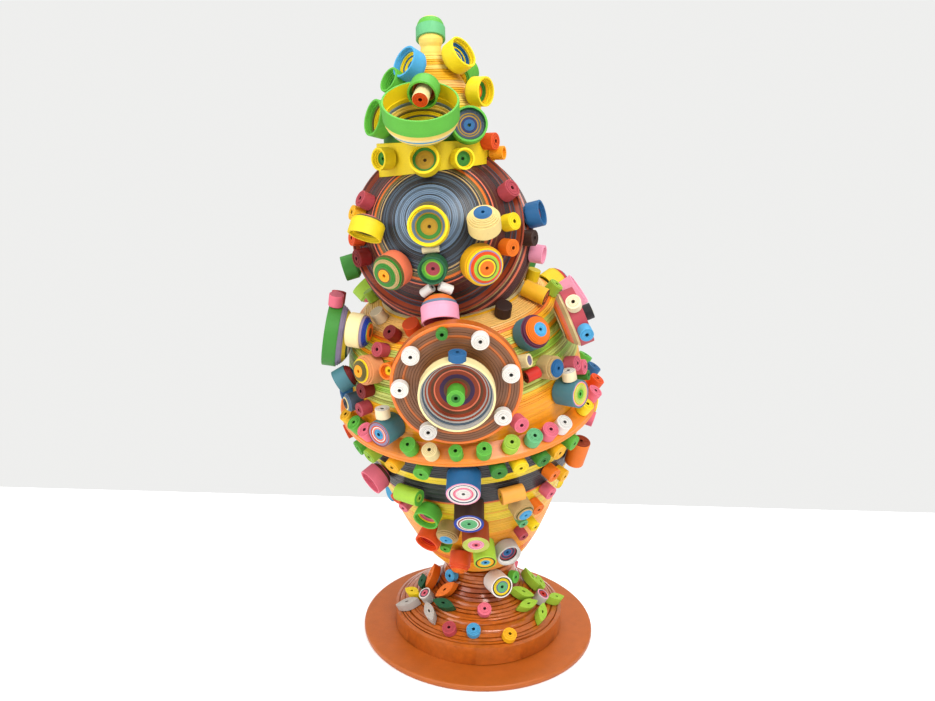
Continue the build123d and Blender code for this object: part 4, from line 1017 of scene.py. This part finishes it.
# crown pieces
single("crownBowl", "crown_bowl", "cup",
       "leaf 1 steel 0.8 paleYellow 1.2 cream 1 skyBlue 0.5 paleYellow 1.5 olive 0.5 paleLime 2 "
       "yellow 1 olive 0.4 paleLime 1.5 lemon 3",
       {"share": 0.45, "floor": 1.2,
        "inside": "leaf 0.8 yellow 1.4 steel 0.8 paleYellow 1.5 olive 0.7 yellow 1.5 slate 0.6 lemon 1.5 "
                  "darkGreen 1 yellow 1 green 3"})
single("targetCup", "target_cup", "cup", "leaf 1",
       {"inside": "darkGreen 1.2 slate 1 ochre 1 slate 0.8 ochre 0.9 navy 1 blue 2"})
single("crownFrontCup", "crown_front_cup", "cup", "leaf 1 green 1",
       {"share": 0.6, "inside": "green 1 ochre 1 rust 2"})
single("crownFrontRoll", "crown_front_roll", "coil", "cream|redOrange 1")
pieceRows("crownCups", "crown_cups", [
    ("cup", "cone", -58, 5, "leaf 1 green 1", {"inside": "leaf 1 olive 1.4 yellow 1.6 olive 1.2 green 2"}),
    ("cup", "cone", -22, 24.8, "skyBlue 1.2 yellow 2",
     {"inside": "skyBlue 1 yellow 1.4 blue 0.5 yellow 1.4 blue 1.2", "seat": (25, -90, 0.9, 6.3, 3.0)}),
    ("cup", "cone", 54, 28.2, "yellow 1.4 steel 0.6 paleYellow 1",
     {"inside": "yellow 1 blue 0.8 yellow 0.5 blue 0.8 yellow 0.5 blue 1"}),
    ("cup", "cone", 62, 15.4, "yellow 1.5 gold 0.6 green 1 redOrange 0.8 amber 1"),
    ("cup", "cone", -52, 18.3, "leaf 1 green 1", {"seat": (0, 0, 0.1, 5.0, 2.5)}),
    ("cup", "cone", 150, 9, "yellow 1 green 1 orange 1 blue 1"),
    ("cup", "cone", -150, 20, "skyBlue 1 yellow 1 pink 1"),
    ("cup", "cone", 122, 24, "leaf 1 yellow 1 orange 1"),
])
pieceRows("bandCups", "band_cups", [
    ("cup", "band", -44, 5.4, "yellow 1.3 green 2"),
    ("cup", "band", -5.6, 3.4, "yellow 1.1 green 1 ochre 3"),
    ("cup", "band", 24, 4.4, "yellow 1.2 green 2.4"),
    ("cup", "band", 68, 5.8, "amber 1 yellow 1 orange 1"),
    ("cup", "band", 132, 5.4, "yellow 1 green 1 ochre 1"),
    ("cup", "band", 168, 5.4, "yellow 1 orange 1 green 1"),
    ("cup", "band", -156, 5.4, "yellow 1 green 2"),
    ("cup", "band", -124, 5.4, "yellow 1 ochre 2"),
])
print("crown pieces wound")

# body pieces
single("leftSideCup", "left_side_cup", "cup",
       "green 0.4 lilac 0.7 yellow 0.7 darkGreen 0.5 white 0.5 lilac 0.6 yellow 0.6 white 0.6",
       {"inside": "leaf 1 lilac 1 yellow 1 green 1 white 1"})
single("rightSideCup", "right_side_cup", "cup",
       "crimson 0.3 cream 0.4 tan 0.6 salmon 0.7 orange 0.6 olive 0.5 cream 0.4 brown 0.8 tan 0.6",
       {"inside": "lightPink 0.8 cream 0.5 tan 0.6 salmon 0.7 ivory 0.6 steel 0.6 olive 0.6 tan 1"})
pile = Pile()
for row in placesOf("side_cup_cores", "coil"):
    addCoil(pile, row["place"], row["radius"], row["length"], "black", "black 1 yellow 1 darkRed 1.4")
finishPiece(pile, "sideCupCores", "side_cup_cores", "plain")
pieceRows("bodyDomes", "body_domes", [
    ("dome", "body", 41, 41, "teal 1 plum 1.2 orange 1.4 skyBlue 1.2"),
    ("dome", "body", 44, 26, "tan 2.6 blue 1.8"),
    ("dome", "body", -43.5, 33.8, "peach 2.4 tan 0.4 peach 1 yellow 0.5 olive 1.6 amber 1.8"),
    ("dome", "body", -58, 16.4, "slate 1 steel 1 cream 0.5 charcoal 1"),
    ("dome", "body", 118, 36, "yellow 1 red 1 blue 1 white 1"),
    ("dome", "body", 160, 28, "lightPink 1 lime 1 orange 1 navy 1"),
    ("dome", "body", -150, 38, "teal 1 yellow 1 crimson 1 white 1"),
    ("dome", "body", -118, 24, "orange 1 cream 1 green 1 gold 1"),
])
pieceRows("bodyCups", "body_cups", [
    ("cup", "body", -49, 46, "cream 1 lilac 0.8 royal 1.4 lime 0.7 orange 1.2 brown 1"),
    ("cup", "body", -30.5, 35.5, "orange 1 yellow 1"),
    ("cup", "body", -60, 28, "teal 1 darkRed 1.4 navy 1",
     {"inside": "teal 1 navy 1 darkRed 1.6 salmon 0.4 darkRed 1"}),
    ("cup", "body", 29.3, 32.8, "cream 3 lilac 1", {"inside": "cream 0.4 lilac 1 steel 1"}),
    ("cup", "body", 93, 38, "lightPink 1 steel 1.2 cream 0.8 steel 1.2 yellow 1"),
    ("cup", "body", 139, 43, "green 1 pink 1 white 1 blue 1"),
    ("cup", "body", 178, 44, "orange 1 yellow 1 purple 1"),
    ("cup", "body", -120, 44, "lime 1 pink 1 lilac 1"),
    ("cup", "body", -172, 20, "skyBlue 1 white 1 red 1"),
    ("cup", "body", 134, 20, "yellow 1 darkGreen 1 salmon 1"),
])
pile = Pile()
for row in placesOf("ledge_rolls", "coil"):
    if row["radius"] > 4:
        left = row["centre"][0] < 0
        faceLook = ("rust 0.7 lilac 0.7 redOrange 1 white 0.4 salmon 0.5 skyBlue 1.6" if left
                    else "teal 0.4 lightPink 0.6 yellow 1 paleLime 1.2 lime 1 leaf 1")
        addCoil(pile, row["place"], row["radius"], row["length"], "teal", faceLook, columns=44)
    else:
        addCoil(pile, row["place"], row["radius"], row["length"], "ivory", "white 1", True)
finishPiece(pile, "ledgeRolls", "ledge_rolls", "plain")

# bowl pieces
pieceRows("bowlRolls", "bowl_rolls", [
    ("coil", "bowl", -2.1, 88.8,
     "blue|lightPink 0.8 white 0.8 navy 0.7 white 0.9 pink 0.6 lightPink 1 white 2.6"),
    ("coil", "bowl", -1.3, 69.4, "darkBrown|royal 0.8 white 0.5 rust 0.9 white 0.5 mint 2.4"),
    ("coil", "bowl", 0.8, 54, "rust|paleLime 1.4 lightPink 1.4 pink 0.6"),
    ("coil", "bowl", 5, 39.7, "lime|lime 0.6 darkBrown 0.7 gold 0.9 darkBrown 0.6 paleLime 0.4 skyBlue 1.2"),
])
pieceRows("lyingRolls", "lying_rolls", [
    ("coil", "bowl", -31.3, 75.4, "lime|leaf 1 lime 1", True),
    ("coil", "bowl", 19.5, 76.4, "apricot|apricot 1 gold 1", True),
    ("coil", "bowl", 60.5, 82, "orange|rust 1", True),
    ("coil", "body", 64.5, 51.5, "gold|brown 1 orange 2", True),
    ("coil", "body", 34.2, 26.6, "red|darkRed 1", True),
    ("coil", "head", 9.4, nose(11.9), "ivory|white 1", True),
    ("coil", "head", 0.8, nose(27.2), "white|white 1", True),
    ("coil", "head", 16.5, nose(27), "white|white 1", True),
])
pieceRows("bowlDomes", "bowl_domes", [
    ("dome", "bowl", 26, 64.4, "tan 2.6 olive 0.2 tan 1 skyBlue 2"),
    ("dome", "bowl", -15, 52.9, "tan 2.6 olive 0.2 tan 1 skyBlue 2"),
    ("dome", "bowl", -11.5, 33.6, "redOrange 3 orange 2"),
    ("dome", "bowl", 100, 62, "pink 1 yellow 1 teal 1"),
    ("dome", "bowl", -120, 58, "lime 1 orange 1 navy 1"),
    ("dome", "bowl", 165, 64, "cream 1 red 1 skyBlue 1"),
])
pieceRows("bowlCups", "bowl_cups", [
    ("cup", "bowl", -50, 79, "pink 1 brown 0.8 purple 0.8 white 0.4 pink 0.8 brown 1 white 0.4 purple 1"),
    ("cup", "bowl", -23, 65, "leaf 1.2 green 1", {"inside": "leaf 0.8 lime 0.6 yellow 0.6 pink 1.4 green 2"}),
    ("cup", "bowl", -27.5, 47.5, "redOrange 1", {"inside": "redOrange 1 red 2 darkRed 2"}),
    ("cup", "bowl", 20.5, 34.8, "greyWhite 1 slate 1",
     {"inside": "white 0.6 darkBrown 0.8 crimson 0.8 slate 0.6 navy 1 crimson 0.5 blue 1.6"}),
    ("cup", "bowl", 112, 40, "yellow 1 blue 1 orange 1"),
    ("cup", "bowl", 128, 74, "pink 1 white 1 green 1 navy 1"),
    ("cup", "bowl", -112, 70, "teal 1 cream 1 red 1"),
    ("cup", "bowl", -155, 72, "orange 1 lime 1 purple 1"),
    ("cup", "bowl", 145, 44, "lime 1 yellow 1 rust 1"),
    ("cup", "bowl", -105, 40, "skyBlue 1 pink 1 yellow 1"),
])
single("stemRoll", "stem_roll", "coil", "white|white 0.6 darkBrown 0.9 yellow 1.1 steel 0.7 mint 1.8")

# small coils by the colour of their strip
coilLooks = {
    "white_coils": ["white", "ivory"], "cream_coils": ["ivory", "cream"],
    "green_coils": ["leaf", "green", "mint", "leaf"], "lime_coils": ["lime", "leaf"],
    "pink_coils": ["pink", "crimson", "pink"], "red_coils": ["red", "darkRed", "crimson"],
    "orange_coils": ["orange", "redOrange"], "yellow_coils": ["yellow", "gold"],
    "blue_coils": ["blue", "skyBlue", "steel"],
    "brown_coils": ["darkBrown", "olive"],
}
for node, looks in coilLooks.items():
    pile = Pile()
    for row in placesOf(node, "coil"):
        name = looks[int(dice.integers(len(looks)))]
        addCoil(pile, row["place"], row["radius"], row["length"], name, f"{name} 1")
    first, second = node.split("_")
    finishPiece(pile, first + second.capitalize(), node, "plain")
print("small coils wound")

# flowers on the foot
petalLook = {
    "length": 12.2, "width": 4.7, "thick": 4.0, "columns": 36,
    "rings": (0.86, 0.84, 0.66, 0.64, 0.44, 0.42, 0.2),
}
pile = Pile()
angle = np.linspace(0, 2 * math.pi, petalLook["columns"], endpoint=False)
# a marquise outline: two arcs that meet in points, at x = cos a and y = sin a squared with its sign
leafAcross = petalLook["length"] / 2 * np.cos(angle)
leafUp = petalLook["width"] / 2 * np.sin(angle) * np.abs(np.sin(angle))
petalColours = {
    "left": ["greyWhite", "yellow", "darkGreen", "orange", "orange", "darkGreen", "greyWhite"],
    "right": ["lime", "gold", "lime", "lime", "gold", "lime"],
}
petalWays = {"left": (-152, -118, -82, -35, 37, 84, 122), "right": (46, 82, 134, -42, -78, -118)}
flowerSpots = {"left": (-60, 25.0), "right": (71.5, 21.8)}
eyes = {side: spotOn("foot", *flowerSpots[side]) for side in flowerSpots}
for points, faces in partsOf("petals"):
    own = points[np.unique(faces)]
    centre = own.mean(0)
    cross = np.cross(points[faces[:, 1]] - points[faces[:, 0]], points[faces[:, 2]] - points[faces[:, 0]])
    area = np.linalg.norm(cross, axis=1)
    unit = cross / np.maximum(area, 1e-12)[:, None]
    z = unit[np.argmax((np.abs(unit @ unit.T) > 0.9999) @ area)]
    if z[2] < 0:
        z = -z
    side = "left" if centre[0] < 0 else "right"
    eyePoint, eyeNormal = eyes[side]
    x = centre - eyePoint
    spread = own - centre
    spread = spread - np.outer(spread @ z, z)
    long = np.linalg.svd(spread)[2][0]
    if long @ x < 0:
        long = -long
    uphill = np.array([0, 0, 1.0]) - eyeNormal * eyeNormal[2]
    uphill /= np.linalg.norm(uphill)
    sideways = np.cross(uphill, eyeNormal)
    way = math.degrees(math.atan2(long @ sideways, long @ uphill))
    gaps = [abs((way - k + 180) % 360 - 180) for k in petalWays[side]]
    colour = linearPaper[petalColours[side][int(np.argmin(gaps))]]
    place = (centre - z * petalLook["thick"] / 2, np.array([long, np.cross(z, long), z]))
    thick = petalLook["thick"]
    profile = [(0, 0), (0.97, 0), (1.0, 0.2), (1.0, thick)]
    for k, ring in enumerate(petalLook["rings"]):
        profile.append((ring, thick))
        profile.append((ring, thick - 1.2 - 0.1 * k) if k % 2 == 0 else (ring, thick))
    profile.append((0, thick - 1.8))
    # the bottom and the walls down into the folds are painted darker as shade, and the top edges of the sheets
    # a little lighter as a painted highlight
    shades = [0.8, 0.95, 1.0] + [(1.05, 0.55, 0.8, 0.55)[k % 4] for k in range(len(profile) - 4)]
    tints = np.outer(shades, colour)
    addTurned(pile, profile, tints, place, petalLook["columns"], outline=(leafAcross, leafUp))
finishPiece(pile, "petals", "petals", "plain")

pile = Pile()
for row in placesOf("flower_eyes", "coil"):
    left = row["centre"][0] < 0
    look = "white 0.5 slate 0.8 white 0.5 pink 1.4" if left else "lightPink 0.5 slate 0.7 white 0.6 red 1.4"
    addCoil(pile, row["place"], row["radius"], row["length"], "greyWhite", look)
finishPiece(pile, "flowerEyes", "flower_eyes", "plain")
print("flowers laid")

# floor, background and light
stage = {
    "floorBack": 0.15, "floorFront": -2.5, "floorSide": 2.5,
    "floorColour": (0.93, 0.93, 0.94), "floorLift": 0.16,
    "wallColour": (0.86, 0.86, 0.85), "ambient": 0.62,
}
floorMesh = bpy.data.meshes.new("floor")
w, f, b = stage["floorSide"], stage["floorFront"], stage["floorBack"]
floorMesh.from_pydata([(-w, f, 0), (w, f, 0), (w, b, 0), (-w, b, 0)], [], [(0, 1, 2, 3)])
floor = bpy.data.objects.new("floor", floorMesh)
bpy.context.scene.collection.objects.link(floor)
floorPaint = bpy.data.materials.new("floorPaint")
floorPaint.use_nodes = True
shader = floorPaint.node_tree.nodes["Principled BSDF"]
shader.inputs["Base Color"].default_value = (*stage["floorColour"], 1)
shader.inputs["Roughness"].default_value = 0.9
shader.inputs["Specular IOR Level"].default_value = 0.1
shader.inputs["Emission Color"].default_value = (1, 1, 1, 1)
ray = floorPaint.node_tree.nodes.new("ShaderNodeLightPath")
lift = floorPaint.node_tree.nodes.new("ShaderNodeMath")
lift.operation = "MULTIPLY"
lift.inputs[1].default_value = stage["floorLift"]
floorPaint.node_tree.links.new(ray.outputs["Is Camera Ray"], lift.inputs[0])
floorPaint.node_tree.links.new(lift.outputs[0], shader.inputs["Emission Strength"])
floorMesh.materials.append(floorPaint)

world = bpy.data.worlds.new("softRoom")
bpy.context.scene.world = world
world.use_nodes = True
nodes, links = world.node_tree.nodes, world.node_tree.links
nodes.clear()
out = nodes.new("ShaderNodeOutputWorld")
seen = nodes.new("ShaderNodeBackground")
seen.inputs["Color"].default_value = (*stage["wallColour"], 1)
lit = nodes.new("ShaderNodeBackground")
lit.inputs["Color"].default_value = (1, 1, 1, 1)
lit.inputs["Strength"].default_value = stage["ambient"]
mix = nodes.new("ShaderNodeMixShader")
path = nodes.new("ShaderNodeLightPath")
links.new(path.outputs["Is Camera Ray"], mix.inputs[0])
links.new(lit.outputs[0], mix.inputs[1])
links.new(seen.outputs[0], mix.inputs[2])
links.new(mix.outputs[0], out.inputs["Surface"])

lamps = {
    "keyLamp": {"place": (0.35, -0.75, 0.95), "size": 0.5, "power": 9.0},
    "fillLamp": {"place": (-0.75, -0.6, 0.6), "size": 0.8, "power": 5.0},
    "topLamp": {"place": (0.05, 0.25, 1.1), "size": 0.6, "power": 5.0},
}
for name, lamp in lamps.items():
    light = bpy.data.lights.new(name, "AREA")
    light.size = lamp["size"]
    light.energy = lamp["power"]
    lampObject = bpy.data.objects.new(name, light)
    bpy.context.scene.collection.objects.link(lampObject)
    aim = np.array([0, -0.02, 0.13]) - np.array(lamp["place"])
    aim /= np.linalg.norm(aim)
    x = np.cross(aim, [0, 0, 1.0])
    x /= np.linalg.norm(x)
    turn = np.column_stack([x, np.cross(x, aim), -aim])
    lampObject.matrix_world = Matrix.Translation(lamp["place"]) @ Matrix(turn.tolist()).to_4x4()

# camera, from the photograph's perspective
view = {"focal": 850.0, "pitch": 13.9, "roll": 1.6, "place": (-0.0091, -0.386, 0.2372), "width": 935}
camera = bpy.data.cameras.new("camera")
camera.sensor_width = 36
camera.lens = view["focal"] / view["width"] * 36
camera.clip_start = 0.01
pitch, roll = math.radians(view["pitch"]), math.radians(view["roll"])
ahead = np.array([0, math.cos(pitch), -math.sin(pitch)])
up = np.array([0, math.sin(pitch), math.cos(pitch)])
right = np.array([1.0, 0, 0])
right, up = math.cos(roll) * right + math.sin(roll) * up, -math.sin(roll) * right + math.cos(roll) * up
cameraObject = bpy.data.objects.new("camera", camera)
bpy.context.scene.collection.objects.link(cameraObject)
turn = Matrix(np.column_stack([right, up, -ahead]).tolist()).to_4x4()
cameraObject.matrix_world = Matrix.Translation(view["place"]) @ turn
bpy.context.scene.camera = cameraObject
bpy.context.scene.view_settings.view_transform = "Standard"

made = [o for o in bpy.data.objects if o.type == "MESH" and "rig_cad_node" not in o]
triangles = sum(len(face.vertices) - 2 for o in made for face in o.data.polygons)
print("triangles in new pieces:", triangles)
